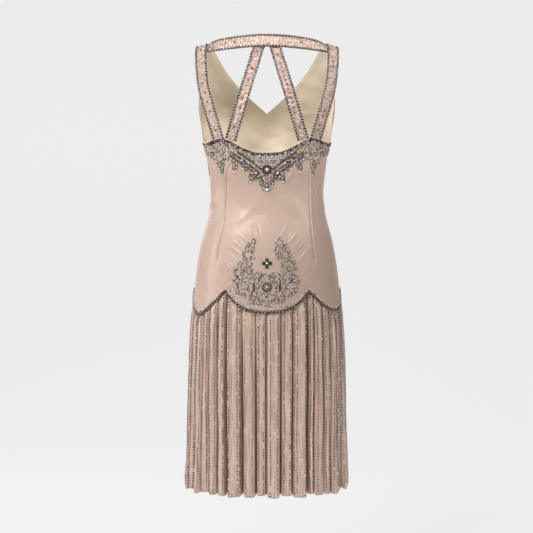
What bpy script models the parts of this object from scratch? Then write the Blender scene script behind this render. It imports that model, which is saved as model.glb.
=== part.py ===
"""Embellished evening dress: low open back with crossed straps, fitted satin bodice, scalloped hip seam
and a skirt of hanging folds. It is worn by nobody but keeps the hollow form of a wearer.

Metres. +Z is up, -Y is the front, +X is the wearer's left. The origin lies midway between the tops of the
two shoulder straps, where shoulders hold the dress up.
"""

from collections import namedtuple

import bpy
import numpy as np

# Cloth
SATIN = 0.0012  # wall of the bodice
LINING = 0.0010
SKIRT_CLOTH = 0.0012
STRAP_CLOTH = 0.0016  # doubled satin with its beads
SEAM_GAP = 0.0003  # between pieces that are sewn together
SIDE_SEAM = 0.75 * SEAM_GAP  # how far front and back each stand off the plane of the side seams
STEEPEST = 0.3  # cosine beyond which a fold's wall is no longer deepened
EDGE_BEADS = 0.0012  # height of the beading along an edge
EDGE_WIDTH = 0.006  # width of that beading

# The hollow form: half width, and depth to the back and to the front, at each height
Section = namedtuple("Section", "height half_width back front")
SECTIONS = (
    Section(0.010, 0.200, 0.030, 0.016),
    Section(-0.030, 0.200, 0.068, 0.050),
    Section(-0.080, 0.198, 0.090, 0.084),
    Section(-0.140, 0.192, 0.101, 0.110),
    Section(-0.200, 0.180, 0.105, 0.127),
    Section(-0.250, 0.165, 0.103, 0.131),
    Section(-0.315, 0.152, 0.094, 0.117),
    Section(-0.377, 0.1456, 0.087, 0.101),
    Section(-0.440, 0.152, 0.095, 0.098),
    Section(-0.500, 0.1685, 0.112, 0.102),
    Section(-0.565, 0.1805, 0.125, 0.108),
    Section(-0.630, 0.188, 0.131, 0.114),
    Section(-0.690, 0.1945, 0.136, 0.121),
    Section(-0.845, 0.203, 0.147, 0.133),
    Section(-1.000, 0.208, 0.157, 0.143),
    Section(-1.144, 0.2135, 0.166, 0.151),
)
ROUNDNESS = 2.25  # superellipse power of every section: 2 is an ellipse
BACK, FRONT = 1, -1

# Neckline, armholes and the back's top edge
SHOULDER_HEIGHT = -0.0150
NECK_POINT = -0.1595  # bottom of the V
NECK_WIDTH = 0.1324  # half width of the neckline at the shoulder
NECK_SLOPE = 0.1112  # rise of the neckline's straight part
NECK_FLARE = SHOULDER_HEIGHT - NECK_POINT - NECK_SLOPE  # further rise of its curved upper part
UNDERARM = -0.247
ArmholePoint = namedtuple("ArmholePoint", "height half_width")
FRONT_ARMHOLE = (
    ArmholePoint(SHOULDER_HEIGHT, 0.1830),
    ArmholePoint(-0.050, 0.1745),
    ArmholePoint(-0.095, 0.1730),
    ArmholePoint(-0.130, 0.1790),
    ArmholePoint(-0.165, 0.1785),
    ArmholePoint(-0.200, 0.1735),
)
FRONT_COLUMNS = 11  # of each half
FRONT_ROWS = 9  # from the neckline to the bust line
LINED_ROWS = 4  # below that
EdgePoint = namedtuple("EdgePoint", "angle height")
BACK_EDGE = (
    EdgePoint(0, -0.2840),
    EdgePoint(10, -0.2815),
    EdgePoint(22, -0.2680),
    EdgePoint(34, -0.2510),
    EdgePoint(42, -0.2460),
    EdgePoint(54, -0.2490),
    EdgePoint(68, -0.2540),
    EdgePoint(80, -0.2520),
    EdgePoint(90, UNDERARM),
)

# Hip seam: six scallops, from peak to peak
SCALLOP_PEAK = -0.6325
Scallop = namedtuple("Scallop", "start end drop power")
SCALLOPS = (
    Scallop(-90, -31, 0.051, 1.8),
    Scallop(-31, 31, 0.054, 2.3),
    Scallop(31, 90, 0.063, 1.4),
    Scallop(90, 149, 0.055, 1.7),
    Scallop(149, 211, 0.054, 2.3),
    Scallop(211, 270, 0.055, 1.7),
)

# Skirt
HEM = -1.144
HEM_RISE = 0.008  # at the sides
SKIRT_TUCK = 0.006  # how far the skirt runs up behind the bodice
SKIRT_INSET = SATIN + SEAM_GAP + 0.0009  # how far behind the bodice's face it does so
SWELL_LENGTH = 0.03  # distance below the seam over which the folds come out to the bodice's face
SEAM_FOLD = 0.0045  # depth of every fold at the hip seam
FOLD_LENGTH = 0.40  # distance below the seam at which a fold is fully open
FOLD_DRIFT = 4.4  # degrees that folds lean in towards the hem, most of all halfway to the sides
FOLD_LEAN = 0.11  # how much wider than its valleys the front of each fold is
FOLD_FLATNESS = 2.3  # how flat that front is
FOLD_SAMPLES = (0.0, 0.15, 0.31, 0.50, 0.69, 0.85)
SKIRT_ROWS = (0.0, 0.03, 0.10, 0.26, 0.48, 0.74, 1.0)
Valley = namedtuple("Valley", "angle depth")
BACK_VALLEYS = (
    Valley(-81, 0.014),
    Valley(-73, 0.018),
    Valley(-65, 0.016),
    Valley(-57, 0.020),
    Valley(-49, 0.020),
    Valley(-40.5, 0.021),
    Valley(-32, 0.024),
    Valley(-26.8, 0.046),
    Valley(-15, 0.026),
    Valley(-7.4, 0.021),
    Valley(0.3, 0.022),
    Valley(5.6, 0.024),
    Valley(14.4, 0.030),
    Valley(26.8, 0.044),
    Valley(34, 0.022),
    Valley(42, 0.020),
    Valley(51, 0.019),
    Valley(60, 0.020),
    Valley(70, 0.018),
    Valley(80, 0.014),
)

# Straps
STRAP_WIDTH = 0.027
STRAP_TUCK = 0.006
RouteKnot = namedtuple("RouteKnot", "side height across out")
SHOULDER_TOP = (0.1690, 0.004, 0.0016)
SHOULDER_SLOPE = 15  # degrees
FACET_ROOM = 0.0003  # more room where flat facets of two curved pieces face each other
OVER_BODICE = SEAM_GAP + STRAP_CLOTH + FACET_ROOM
UNDER_BODICE = -(SATIN + SEAM_GAP + FACET_ROOM)
UNDER_STRAP = -(STRAP_CLOTH + SEAM_GAP + FACET_ROOM)
SHOULDER_ROUTE_FRONT = (
    RouteKnot(FRONT, -0.048, 0.1620, OVER_BODICE),
    RouteKnot(FRONT, -0.030, 0.1650, OVER_BODICE + 0.0002),
    RouteKnot(FRONT, -0.0120, 0.1675, OVER_BODICE + 0.0012),
)
SHOULDER_ROUTE_BACK = (
    RouteKnot(BACK, -0.0125, 0.1695, 0.0010),
    RouteKnot(BACK, -0.032, 0.1695, 0.0006),
    RouteKnot(BACK, -0.061, 0.1680, 0.0),
    RouteKnot(BACK, -0.110, 0.1627, -0.0005),
    RouteKnot(BACK, -0.155, 0.1514, -0.0010),
    RouteKnot(BACK, -0.203, 0.1376, UNDER_BODICE),
    RouteKnot(BACK, -0.252, 0.1230, UNDER_BODICE),
)
BandKnot = namedtuple("BandKnot", "across upper_depth upper_height lower_depth lower_height")
BAND_KNOTS = (
    BandKnot(0.0, 0.0600, 0.0212, 0.0680, -0.0100),
    BandKnot(0.030, 0.0588, 0.0206, 0.0671, -0.0106),
    BandKnot(0.065, 0.0540, 0.0182, 0.0635, -0.0128),
    BandKnot(0.100, 0.0445, 0.0143, 0.0570, -0.0156),
    BandKnot(0.130, 0.0315, 0.0098, 0.0485, -0.0180),
)
BAND_REACH = (-0.004, 0.005)  # its last two rows, before and beyond the strap's inner edge
BAND_UNDER_STRAP = (3.15, 3.75, 4.40)  # where the band's end lies along the strap, counted in its knots
BAND_BULGE, BAND_END_BULGE = 0.0007, 0.0021  # outward bow of its middle line
CROSS_TOP, CROSS_BOTTOM = 0.0205, 0.0930  # distances of a crossing strap from the middle
CROSS_HEIGHTS = (-0.060, -0.100, -0.150, -0.200, -0.252)
CROSS_SHOULDER_BLADE = (-0.032, 0.0735)  # height and depth where it leaves the band

# Beadwork and jewels on the back
BEADWORK = 0.0012
UNDER_BEADWORK = 0.0004
EdgeDrop = namedtuple("EdgeDrop", "angle height")
BUST_DROPS = (
    EdgeDrop(0, -0.381),
    EdgeDrop(5, -0.352),
    EdgeDrop(12.5, -0.361),
    EdgeDrop(17.5, -0.325),
    EdgeDrop(22.5, -0.328),
    EdgeDrop(26, -0.309),
    EdgeDrop(31, -0.335),
    EdgeDrop(36.5, -0.304),
    EdgeDrop(46, -0.340),
    EdgeDrop(55, -0.292),
    EdgeDrop(70, -0.272),
)
BUST_COLUMN_STEP = 2.5
BUST_TOP = 0.0085  # distance of its upper side below the bodice's edge
HIP_CENTRE = -0.575
CrescentRow = namedtuple("CrescentRow", "angle inner outer")
HIP_CRESCENT = (
    CrescentRow(0, 0.010, 0.096),
    CrescentRow(30, 0.011, 0.094),
    CrescentRow(60, 0.016, 0.092),
    CrescentRow(90, 0.030, 0.083),
    CrescentRow(120, 0.036, 0.0715),
    CrescentRow(150, 0.076, 0.083),
)
Jewel = namedtuple("Jewel", "name height radius petals petal_depth")
JEWELS = (
    Jewel("bust_jewel", -0.326, 0.0130, 10, 0.12),
    Jewel("hip_jewel", -0.6226, 0.0150, 10, 0.12),
    Jewel("hip_flower", -0.5628, 0.0145, 4, 0.38),
)
JEWEL_RISE = 0.0040


# Curves and tables


def smooth(place, places, rows):
    """Smooth curve through a table: places rise, and each row is a value or a point."""
    places, rows = np.asarray(places, float), np.asarray(rows, float)
    place = np.clip(np.asarray(place, float), places[0], places[-1])
    slopes = np.gradient(rows, places, axis=0)
    i = np.clip(np.searchsorted(places, place) - 1, 0, len(places) - 2)
    step = places[i + 1] - places[i]
    t = (place - places[i]) / step
    if rows.ndim > 1:
        t, step = t[..., None], step[..., None]
    stay = (1 + 2 * t) * (1 - t) ** 2
    move = t * t * (3 - 2 * t)
    bend = t * (1 - t)
    turn = (bend * (1 - t) * slopes[i] - bend * t * slopes[i + 1]) * step
    return stay * rows[i] + move * rows[i + 1] + turn


def through(knots, places):
    """Points of a smooth curve through knots: place 1.5 is halfway from the second knot to the third."""
    knots = np.asarray(knots, float)
    along = np.concatenate([[0], np.cumsum(np.linalg.norm(np.diff(knots, axis=0), axis=1))])
    return smooth(np.interp(places, np.arange(len(knots)), along), along, knots)


def column(table, name):
    return np.array([getattr(row, name) for row in table], float)


# The hollow form


def section(height):
    """Half width, back depth and front depth of the form at these heights."""
    depth = -column(SECTIONS, "height")
    height = np.asarray(height, float)
    return [smooth(-height, depth, column(SECTIONS, name)) for name in ("half_width", "back", "front")]


def form(angle, height):
    """Points of the form: the angle runs from the middle of the back towards +X, in degrees."""
    angle, height = np.broadcast_arrays(np.radians(angle), np.asarray(height, float))
    half_width, back, front = section(height)
    sine, cosine = np.sin(angle), np.cos(angle)
    power = 2 / ROUNDNESS
    depth = np.where(cosine > 0, back, front)
    return np.stack(
        [
            half_width * np.sign(sine) * np.abs(sine) ** power,
            depth * np.sign(cosine) * np.abs(cosine) ** power,
            height,
        ],
        axis=-1,
    )


def off_form(angle, height, out):
    """Points of the form moved out along its normal."""
    turn, drop = 0.2, 0.001
    sideways = form(angle + turn, height) - form(angle - turn, height)
    down = form(angle, np.asarray(height) - drop) - form(angle, np.asarray(height) + drop)
    normal = np.cross(sideways, down)
    normal /= np.linalg.norm(normal, axis=-1, keepdims=True)
    return form(angle, height) + normal * np.asarray(out, float)[..., None]


def angle_at(across, height, side=BACK):
    """Angle at which the form's back or front has this distance from the middle."""
    share = np.clip(np.abs(across) / section(height)[0], 0, 1) ** (ROUNDNESS / 2)
    angle = np.degrees(np.arcsin(share)) * np.sign(across)
    return angle if side == BACK else 180 - angle


def seam_height(angle):
    """Height of the scalloped hip seam."""
    angle = (np.asarray(angle, float) + 90) % 360 - 90
    height = np.full(angle.shape, SCALLOP_PEAK)
    for scallop in SCALLOPS:
        inside = (angle >= scallop.start) & (angle <= scallop.end)
        share = np.clip((angle - scallop.start) / (scallop.end - scallop.start), 0, 1)
        drop = scallop.drop * (1 - np.abs(2 * share - 1) ** scallop.power)
        height = np.where(inside, SCALLOP_PEAK - drop, height)
    return height


def back_edge(angle):
    """Height of the back's top edge."""
    return smooth(np.abs(angle), column(BACK_EDGE, "angle"), column(BACK_EDGE, "height"))


def neckline(share):
    """Height of the front neckline: share 0 is its lowest point and 1 the shoulder."""
    return NECK_POINT + NECK_SLOPE * share + NECK_FLARE * share**4


# Solids from grids of points


def thicken(points, triangles, thickness, lift, outward=None):
    """Closed wall: the outer side is lifted, and the inner side stays smooth.

    The wall is measured along outward, which is the surface's own normal unless it is given. It is
    deeper where the surface is steep to that direction, so that steep cloth isn't thinner."""
    corners = points[triangles]
    face = np.cross(corners[:, 1] - corners[:, 0], corners[:, 2] - corners[:, 0])
    normal = np.zeros_like(points)
    for corner in range(3):
        np.add.at(normal, triangles[:, corner], face)
    normal /= np.linalg.norm(normal, axis=1, keepdims=True)
    if outward is not None:
        normal = outward
    facing = np.zeros(len(points))
    count = np.zeros(len(points))
    unit = face / np.linalg.norm(face, axis=1, keepdims=True)
    for corner in range(3):
        at = triangles[:, corner]
        np.add.at(facing, at, (unit * normal[at]).sum(1))
        np.add.at(count, at, 1)
    steep = np.clip(facing / count, 0.55 if outward is None else STEEPEST, 1)
    inner = points - normal * (thickness / steep)[:, None]
    outer = points + normal * lift[:, None]
    edges = np.concatenate([triangles[:, [0, 1]], triangles[:, [1, 2]], triangles[:, [2, 0]]])
    known = {tuple(edge) for edge in edges.tolist()}
    rim = np.array([(a, b) for a, b in edges.tolist() if (b, a) not in known])
    shift = len(points)
    sides = np.concatenate(
        [
            np.stack([rim[:, 1], rim[:, 0], rim[:, 0] + shift], axis=1),
            np.stack([rim[:, 1], rim[:, 0] + shift, rim[:, 1] + shift], axis=1),
        ]
    )
    return np.concatenate([outer, inner]), np.concatenate([triangles, triangles[:, ::-1] + shift, sides])


def welded(grid, keep, *others):
    """Grid points with coincident ones made one, the kept cells' triangles, and other grids' values."""
    rows, columns = grid.shape[:2]
    flat = grid.reshape(-1, 3)
    _, first, index = np.unique(np.round(flat, 6), axis=0, return_index=True, return_inverse=True)
    index = index.reshape(rows, columns)
    a, b = index[:-1, :-1][keep], index[:-1, 1:][keep]
    c, d = index[1:, 1:][keep], index[1:, :-1][keep]
    triangles = np.concatenate([np.stack([a, b, c], axis=1), np.stack([a, c, d], axis=1)])
    whole = (
        (triangles[:, 0] != triangles[:, 1])
        & (triangles[:, 1] != triangles[:, 2])
        & (triangles[:, 0] != triangles[:, 2])
    )
    return flat[first], triangles[whole], *[other.reshape(rows * columns, -1)[first] for other in others]


def add_object(name, points, faces, material):
    mesh = bpy.data.meshes.new(name)
    mesh.from_pydata(points.tolist(), [], faces.tolist())
    mesh.materials.append(material)
    mesh.shade_smooth()
    mesh.set_sharp_from_angle(angle=np.radians(50))
    made = bpy.data.objects.new(name, mesh)
    bpy.context.scene.collection.objects.link(made)
    return made


def add_cloth(name, grid, thickness, material, lift=None, keep=None, outward=None):
    """One piece of cloth from a grid of outer points: columns run anticlockwise from above, rows down."""
    if lift is None:
        lift = np.zeros(grid.shape[:2])
    if keep is None:
        keep = np.ones((grid.shape[0] - 1, grid.shape[1] - 1), bool)
    points, triangles, lift, *outward = welded(grid, keep, lift, *([] if outward is None else [outward]))
    wall = thicken(points, triangles, thickness, lift[:, 0], *outward)
    return add_object(name, *wall, material)


def mirrored(grid):
    return grid[:, ::-1] * np.array([-1, 1, 1])


# Bodice and lining


def edge_rows(length, inner_rows):
    """Shares of the back's length for its rows, with close rows on both sides of each beaded edge."""
    bead, step = EDGE_WIDTH / length, 0.001 / length
    middle = np.linspace(bead + step, 1 - bead - step, inner_rows)
    return np.concatenate([[0, bead], middle, [1 - bead, 1]])


def scallop_columns(scallops, columns):
    """Angles of a panel's columns, with one on each peak of the hip seam."""
    spans = [np.linspace(scallop.start, scallop.end, columns)[1:] for scallop in scallops]
    return np.concatenate([[scallops[0].start], *spans])


def back_bodice(material):
    angles = scallop_columns(SCALLOPS[:3], 10)
    top, bottom = back_edge(angles), seam_height(angles)
    share = edge_rows(0.37, 18)[:, None]
    grid = form(angles[None], top + (bottom - top) * share)
    grid[..., 1] += SIDE_SEAM
    lift = np.zeros(grid.shape[:2])
    lift[[0, 1, -2, -1]] = EDGE_BEADS
    add_cloth("back_bodice", grid, SATIN, material, lift)


def front_half(columns, upper_rows, out):
    """Rows of the front's left half from neckline, or middle, to armhole, or side, down to the bust line."""
    share = np.linspace(1, 0, upper_rows)
    inner_height = neckline(share)
    inner = angle_at(NECK_WIDTH * share, inner_height, FRONT)
    armhole_heights = np.append(column(FRONT_ARMHOLE, "height"), UNDERARM)
    armhole_widths = column(FRONT_ARMHOLE, "half_width")
    outer_height = np.linspace(SHOULDER_HEIGHT, UNDERARM, upper_rows)
    width = smooth(-outer_height, -armhole_heights, np.append(armhole_widths, section(UNDERARM)[0]))
    outer = angle_at(width, outer_height, FRONT)
    outer[-1] = 90
    across = np.linspace(0, 1, columns)
    angle = inner[:, None] + (outer - inner)[:, None] * across
    height = inner_height[:, None] + (outer_height - inner_height)[:, None] * across
    return angle, height, off_form(angle, height, np.full(angle.shape, out))


def front_grid(columns, upper_rows, shares, bottom, out):
    """The whole front from both halves: shares are the rows below the bust line, down to the bottom."""
    angle, height, upper = front_half(columns, upper_rows, out)
    angles, start = angle[-1], height[-1]
    end = bottom(angles)
    lower_height = start + (end - start) * shares[:, None]
    lower = off_form(angles[None], lower_height, np.full(lower_height.shape, out))
    lower[:, 0, 0] = 0
    upper[-1, 0, 0] = 0
    half = np.concatenate([upper, lower])
    half[..., 1] -= SIDE_SEAM
    grid = np.concatenate([half[:, ::-1], half * np.array([-1, 1, 1])], axis=1)
    keep = np.ones((grid.shape[0] - 1, grid.shape[1] - 1), bool)
    keep[:, columns - 1] = False
    return grid, keep


def front_shares():
    """Rows of the front below the bust line, with close rows on both sides of its beaded edge."""
    bead, step = EDGE_WIDTH / 0.44, 0.001 / 0.44
    return np.concatenate([np.linspace(0, 1 - bead - step, 11)[1:], [1 - bead, 1]])


def front_bodice(material):
    grid, keep = front_grid(FRONT_COLUMNS, FRONT_ROWS, front_shares(), seam_height, 0.0)
    lift = np.zeros(grid.shape[:2])
    lift[-2:] = EDGE_BEADS
    add_cloth("front_bodice", grid, SATIN, material, lift, keep)


def front_lining(material):
    """Only the part that shows through the open back and the neckline: the front's own rows, moved in."""
    rows = FRONT_ROWS + LINED_ROWS
    inside = -(SATIN + SEAM_GAP + FACET_ROOM)
    grid, keep = front_grid(FRONT_COLUMNS, FRONT_ROWS, front_shares(), seam_height, inside)
    add_cloth("front_lining", grid[:rows], LINING, material, None, keep[: rows - 1])


# Skirt


def valleys_all_round():
    """The back's valleys, and the same ones turned half round for the front."""
    back = [(valley.angle, valley.depth) for valley in BACK_VALLEYS]
    return back + [(angle + 180, depth) for angle, depth in back]


def fold_columns():
    """For each column round the skirt: its angle at the hem, its fold's depth, and how far out it is."""
    rows = []
    valleys = valleys_all_round()
    following = valleys[1:] + [(valleys[0][0] + 360, valleys[0][1])]
    for (angle, depth), (next_angle, next_depth) in zip(valleys, following):
        for wave in FOLD_SAMPLES:
            share = wave - FOLD_LEAN * np.sin(2 * np.pi * wave)
            crest = 1 - ((1 + np.cos(2 * np.pi * wave)) / 2) ** FOLD_FLATNESS
            blend = wave * wave * (3 - 2 * wave)
            rows.append((angle + (next_angle - angle) * share, depth + (next_depth - depth) * blend, crest))
    return np.array(rows)


def skirt_points(columns):
    """Grid of the skirt's outer points for these fold columns, and the form's outward directions there."""
    hem_angle, hem_fold, crest = columns.T
    share = np.array(SKIRT_ROWS)[:, None]
    angle = hem_angle + FOLD_DRIFT * (1 - share) * np.sin(np.radians(2 * hem_angle))
    top = seam_height(angle) + SKIRT_TUCK
    hem = HEM + HEM_RISE * np.sin(np.radians(hem_angle)) ** 2
    height = top + (hem - top) * share
    below = np.clip((seam_height(angle) - height) / FOLD_LENGTH, 0, 1)
    opened = below * (2 - below)
    fold = SEAM_FOLD + (hem_fold - SEAM_FOLD) * opened
    swell = np.clip((seam_height(angle) - height) / SWELL_LENGTH, 0, 1)
    out = -SKIRT_INSET * (1 - swell) - fold * (1 - crest)
    return off_form(angle, height, out), off_form(angle, height, 1 + 0 * out) - form(angle, height)


def skirts(material):
    columns = fold_columns()
    side = np.interp([90, 270], columns[:, 0], columns[:, 1])
    for name, start, end in (("back_skirt", -90, 90), ("front_skirt", 90, 270)):
        wrapped = np.concatenate([columns - [360, 0, 0], columns])
        crest = np.interp([start, end], wrapped[:, 0], wrapped[:, 2])
        inside = (wrapped[:, 0] > start + 0.8) & (wrapped[:, 0] < end - 0.8)
        edges = [(start, side[0], crest[0]), (end, side[1], crest[1])]
        grid, outward = skirt_points(np.concatenate([edges[:1], wrapped[inside], edges[1:]]))
        grid[..., 1] += SIDE_SEAM * (BACK if name == "back_skirt" else FRONT)
        add_cloth(name, grid, SKIRT_CLOTH, material, outward=outward)


# Straps and band


def on_route(knots, width):
    """Three columns of knots, at the strap's two edges and its middle, on the form."""
    plan = np.array([(knot.across, knot.height) for knot in knots])
    along = np.gradient(plan, axis=0)
    along /= np.linalg.norm(along, axis=1, keepdims=True)
    side = knots[0].side
    perpendicular = np.stack([-along[:, 1], along[:, 0]], axis=1) * side
    out = column(knots, "out")
    lines = []
    for share in (-0.5, 0, 0.5):
        place = plan + perpendicular * share * width
        lines.append(off_form(angle_at(place[:, 0], place[:, 1], side), place[:, 1], out))
    return np.stack(lines, axis=1)


def shoulder_knots():
    """Knots of the left shoulder strap, from the front over the shoulder and down the back."""
    slope = np.radians(SHOULDER_SLOPE)
    outward = np.array([np.cos(slope), 0, -np.sin(slope)]) * STRAP_WIDTH / 2
    top = np.array([[np.array(SHOULDER_TOP) + outward * share for share in (-1, 0, 1)]])
    front = on_route(SHOULDER_ROUTE_FRONT, STRAP_WIDTH)
    back = on_route(SHOULDER_ROUTE_BACK, STRAP_WIDTH)
    return np.concatenate([front, top, back])


def ribbon(knots, rows):
    """Grid of a strap's outer points: its columns of knots, each made a smooth curve."""
    places = np.linspace(0, len(knots) - 1, rows)
    return np.stack([through(knots[:, k], places) for k in range(knots.shape[1])], axis=1)


def strap_frame(knots, place):
    """Inner edge of a strap at a place counted in knots, with its directions across and outward."""
    step = 0.1
    edge, middle = through(knots[:, 0], [place])[0], through(knots[:, 1], [place])[0]
    ahead = through(knots[:, 1], [place + step])[0] - through(knots[:, 1], [place - step])[0]
    across = (middle - edge) / np.linalg.norm(middle - edge)
    normal = np.cross(across, ahead)
    return edge, across, normal / np.linalg.norm(normal)


def band_knots():
    """Knots of the neck band, from the right shoulder strap to the left: upper edge, middle, lower edge."""
    strap = shoulder_knots()
    ends = []
    for reach in BAND_REACH:
        end = []
        for place in BAND_UNDER_STRAP:
            edge, across, normal = strap_frame(strap, place)
            end.append(edge + across * reach + normal * (UNDER_STRAP - FACET_ROOM))
        ends.append(end)
    rows = []
    for knot in BAND_KNOTS:
        upper = np.array([knot.across, knot.upper_depth, knot.upper_height])
        lower = np.array([knot.across, knot.lower_depth, knot.lower_height])
        bulge = BAND_BULGE + BAND_END_BULGE * (knot.across / NECK_WIDTH) ** 2
        rows.append([upper, (upper + lower) / 2 + np.array([0, bulge, bulge]), lower])
    left = np.array(rows + ends)
    right = left[:0:-1] * np.array([-1, 1, 1])
    return np.concatenate([right, left])


def crossing_knots():
    """Knots of the left crossing strap, from behind the band down to behind the bodice's edge."""
    band = band_knots()
    middle = len(band) // 2
    slope = (CROSS_BOTTOM - CROSS_TOP) / (CROSS_HEIGHTS[-1] - BAND_KNOTS[0].lower_height)

    def across(height):
        return CROSS_TOP + slope * (height - BAND_KNOTS[0].lower_height)

    first = []
    for row in (1, 2):
        points = []
        for share in (-1, 0, 1):
            place = middle + (across(band[middle, row, 2]) + share * STRAP_WIDTH / 2) / BAND_KNOTS[1].across
            point = through(band[:, row], [place])[0]
            points.append(point + np.array([0, 1, 0.25]) * (UNDER_STRAP - FACET_ROOM))
        first.append(points)
    height, depth = CROSS_SHOULDER_BLADE
    first.append([[across(height) + share * STRAP_WIDTH / 2, depth, height] for share in (-1, 0, 1)])
    route = [RouteKnot(BACK, height, across(height), UNDER_BODICE) for height in CROSS_HEIGHTS]
    return np.concatenate([np.array(first), on_route(route, STRAP_WIDTH)])


def straps(material):
    shoulder = ribbon(shoulder_knots(), 25)
    crossing = ribbon(crossing_knots(), 15)
    band = np.swapaxes(ribbon(band_knots(), 31), 0, 1)
    add_cloth("left_shoulder_strap", shoulder, STRAP_CLOTH, material)
    add_cloth("right_shoulder_strap", mirrored(shoulder), STRAP_CLOTH, material)
    add_cloth("left_back_strap", crossing, STRAP_CLOTH, material)
    add_cloth("right_back_strap", mirrored(crossing), STRAP_CLOTH, material)
    add_cloth("neck_band", band, STRAP_CLOTH, material)


# Beadwork and jewels


def on_back(across, height, out):
    """Points at this distance in front of the back panel's outer face."""
    across, height, out = np.broadcast_arrays(across, np.asarray(height, float), np.asarray(out, float))
    points = off_form(angle_at(across, height), height, out)
    points[..., 1] += SIDE_SEAM
    return points


def bust_beadwork(material):
    """Below the top edge, with hanging points and a longest one in the middle."""
    reach = BUST_DROPS[-1].angle
    angles = np.arange(-reach, reach + 0.1, BUST_COLUMN_STEP)
    bottom = np.interp(np.abs(angles), column(BUST_DROPS, "angle"), column(BUST_DROPS, "height"))
    top = back_edge(angles) - BUST_TOP
    height = top + (bottom - top) * np.linspace(0, 1, 5)[:, None]
    grid = off_form(angles[None], height, np.full(height.shape, UNDER_BEADWORK + BEADWORK))
    grid[..., 1] += SIDE_SEAM
    add_cloth("bust_beadwork", grid, BEADWORK, material)


def hip_beadwork(material):
    """Crescent with two rising arms, round the hip flower."""
    angles = np.linspace(-150, 150, 51)
    inner = smooth(np.abs(angles), column(HIP_CRESCENT, "angle"), column(HIP_CRESCENT, "inner"))
    outer = smooth(np.abs(angles), column(HIP_CRESCENT, "angle"), column(HIP_CRESCENT, "outer"))
    radius = inner + (outer - inner) * np.linspace(0, 1, 5)[:, None]
    across = radius * np.sin(np.radians(angles))
    height = HIP_CENTRE - radius * np.cos(np.radians(angles))
    grid = on_back(across, height, UNDER_BEADWORK + BEADWORK)
    add_cloth("hip_beadwork", grid, BEADWORK, material)


def jewel(entry, base, material):
    """Flower of petals round a domed stone, standing on the panel or on the beadwork."""
    around = entry.petals * 4
    turn = np.linspace(0, 2 * np.pi, around, endpoint=False)
    petals = 1 - entry.petal_depth * (1 - np.abs(np.cos(entry.petals * turn / 2)))
    rings = ((1.0, 0.0, petals), (0.94, 0.45, petals), (0.45, 0.55, 1), (0.34, 1.0, 1))
    points = []
    for radius, rise, shape in rings:
        reach = entry.radius * radius * shape
        across, height = reach * np.sin(turn), entry.height + reach * np.cos(turn)
        points.append(on_back(across, height, base + rise * JEWEL_RISE))
    under = on_back(np.zeros(1), entry.height, base)
    crown = on_back(np.zeros(1), entry.height, base + 1.1 * JEWEL_RISE)
    corners = np.concatenate([*points, under, crown])
    here, after = np.arange(around), (np.arange(around) + 1) % around
    floor, peak = 4 * around, 4 * around + 1
    faces = [np.stack([after, here, np.full(around, floor)], axis=1)]
    for ring in range(3):
        low, high = ring * around, (ring + 1) * around
        faces.append(np.stack([here + low, after + low, after + high], axis=1))
        faces.append(np.stack([here + low, after + high, here + high], axis=1))
    faces.append(np.stack([here + 3 * around, after + 3 * around, np.full(around, peak)], axis=1))
    add_object(entry.name, corners, np.concatenate(faces), material)


def jewels(material):
    over_beadwork = UNDER_BEADWORK + BEADWORK + UNDER_BEADWORK
    for entry in JEWELS:
        jewel(entry, UNDER_BEADWORK if entry.name == "hip_flower" else over_beadwork, material)


def finish(name, colour, roughness, metallic=0.0):
    made = bpy.data.materials.new(name)
    made.use_nodes = True
    shader = made.node_tree.nodes["Principled BSDF"]
    shader.inputs["Base Color"].default_value = (*colour, 1)
    shader.inputs["Roughness"].default_value = roughness
    shader.inputs["Metallic"].default_value = metallic
    return made


def main():
    for old in list(bpy.data.objects):
        bpy.data.objects.remove(old, do_unlink=True)
    satin = finish("blush satin", (0.60, 0.42, 0.34), 0.35)
    crepe = finish("blush crepe", (0.52, 0.37, 0.30), 0.60)
    beige = finish("beige lining", (0.45, 0.36, 0.24), 0.65)
    beads = finish("silver beads", (0.35, 0.33, 0.30), 0.30, 0.8)
    back_bodice(satin)
    front_bodice(satin)
    front_lining(beige)
    skirts(crepe)
    straps(satin)
    bust_beadwork(beads)
    hip_beadwork(beads)
    jewels(beads)


main()
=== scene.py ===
"""The embellished dress with its finished surfaces: creased satin, fluted crepe, lining, beads and jewels.

Lengths are in metres and angles in degrees, unless a line says otherwise. The dress's back faces +Y."""

import math
from collections import namedtuple
from itertools import combinations

import bpy
import numpy as np
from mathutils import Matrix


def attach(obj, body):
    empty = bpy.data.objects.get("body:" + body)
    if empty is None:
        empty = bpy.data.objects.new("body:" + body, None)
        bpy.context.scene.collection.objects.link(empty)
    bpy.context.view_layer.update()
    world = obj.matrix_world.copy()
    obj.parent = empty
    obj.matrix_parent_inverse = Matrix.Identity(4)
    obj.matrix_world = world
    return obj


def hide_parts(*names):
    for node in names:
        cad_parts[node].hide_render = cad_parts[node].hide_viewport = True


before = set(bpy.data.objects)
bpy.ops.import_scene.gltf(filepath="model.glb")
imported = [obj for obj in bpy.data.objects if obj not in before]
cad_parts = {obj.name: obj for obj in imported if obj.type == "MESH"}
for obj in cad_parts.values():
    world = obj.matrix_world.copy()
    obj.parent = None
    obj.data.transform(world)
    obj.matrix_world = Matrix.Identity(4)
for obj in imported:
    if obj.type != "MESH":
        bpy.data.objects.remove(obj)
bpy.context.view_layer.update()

MIRROR = np.array([-1, 1, 1])
ACROSS = np.array([1.0, 0, 0])


def table_of(kind, rows):
    """Table whose columns have the names of this kind of row."""
    return [kind(*row) for row in rows]


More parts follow.
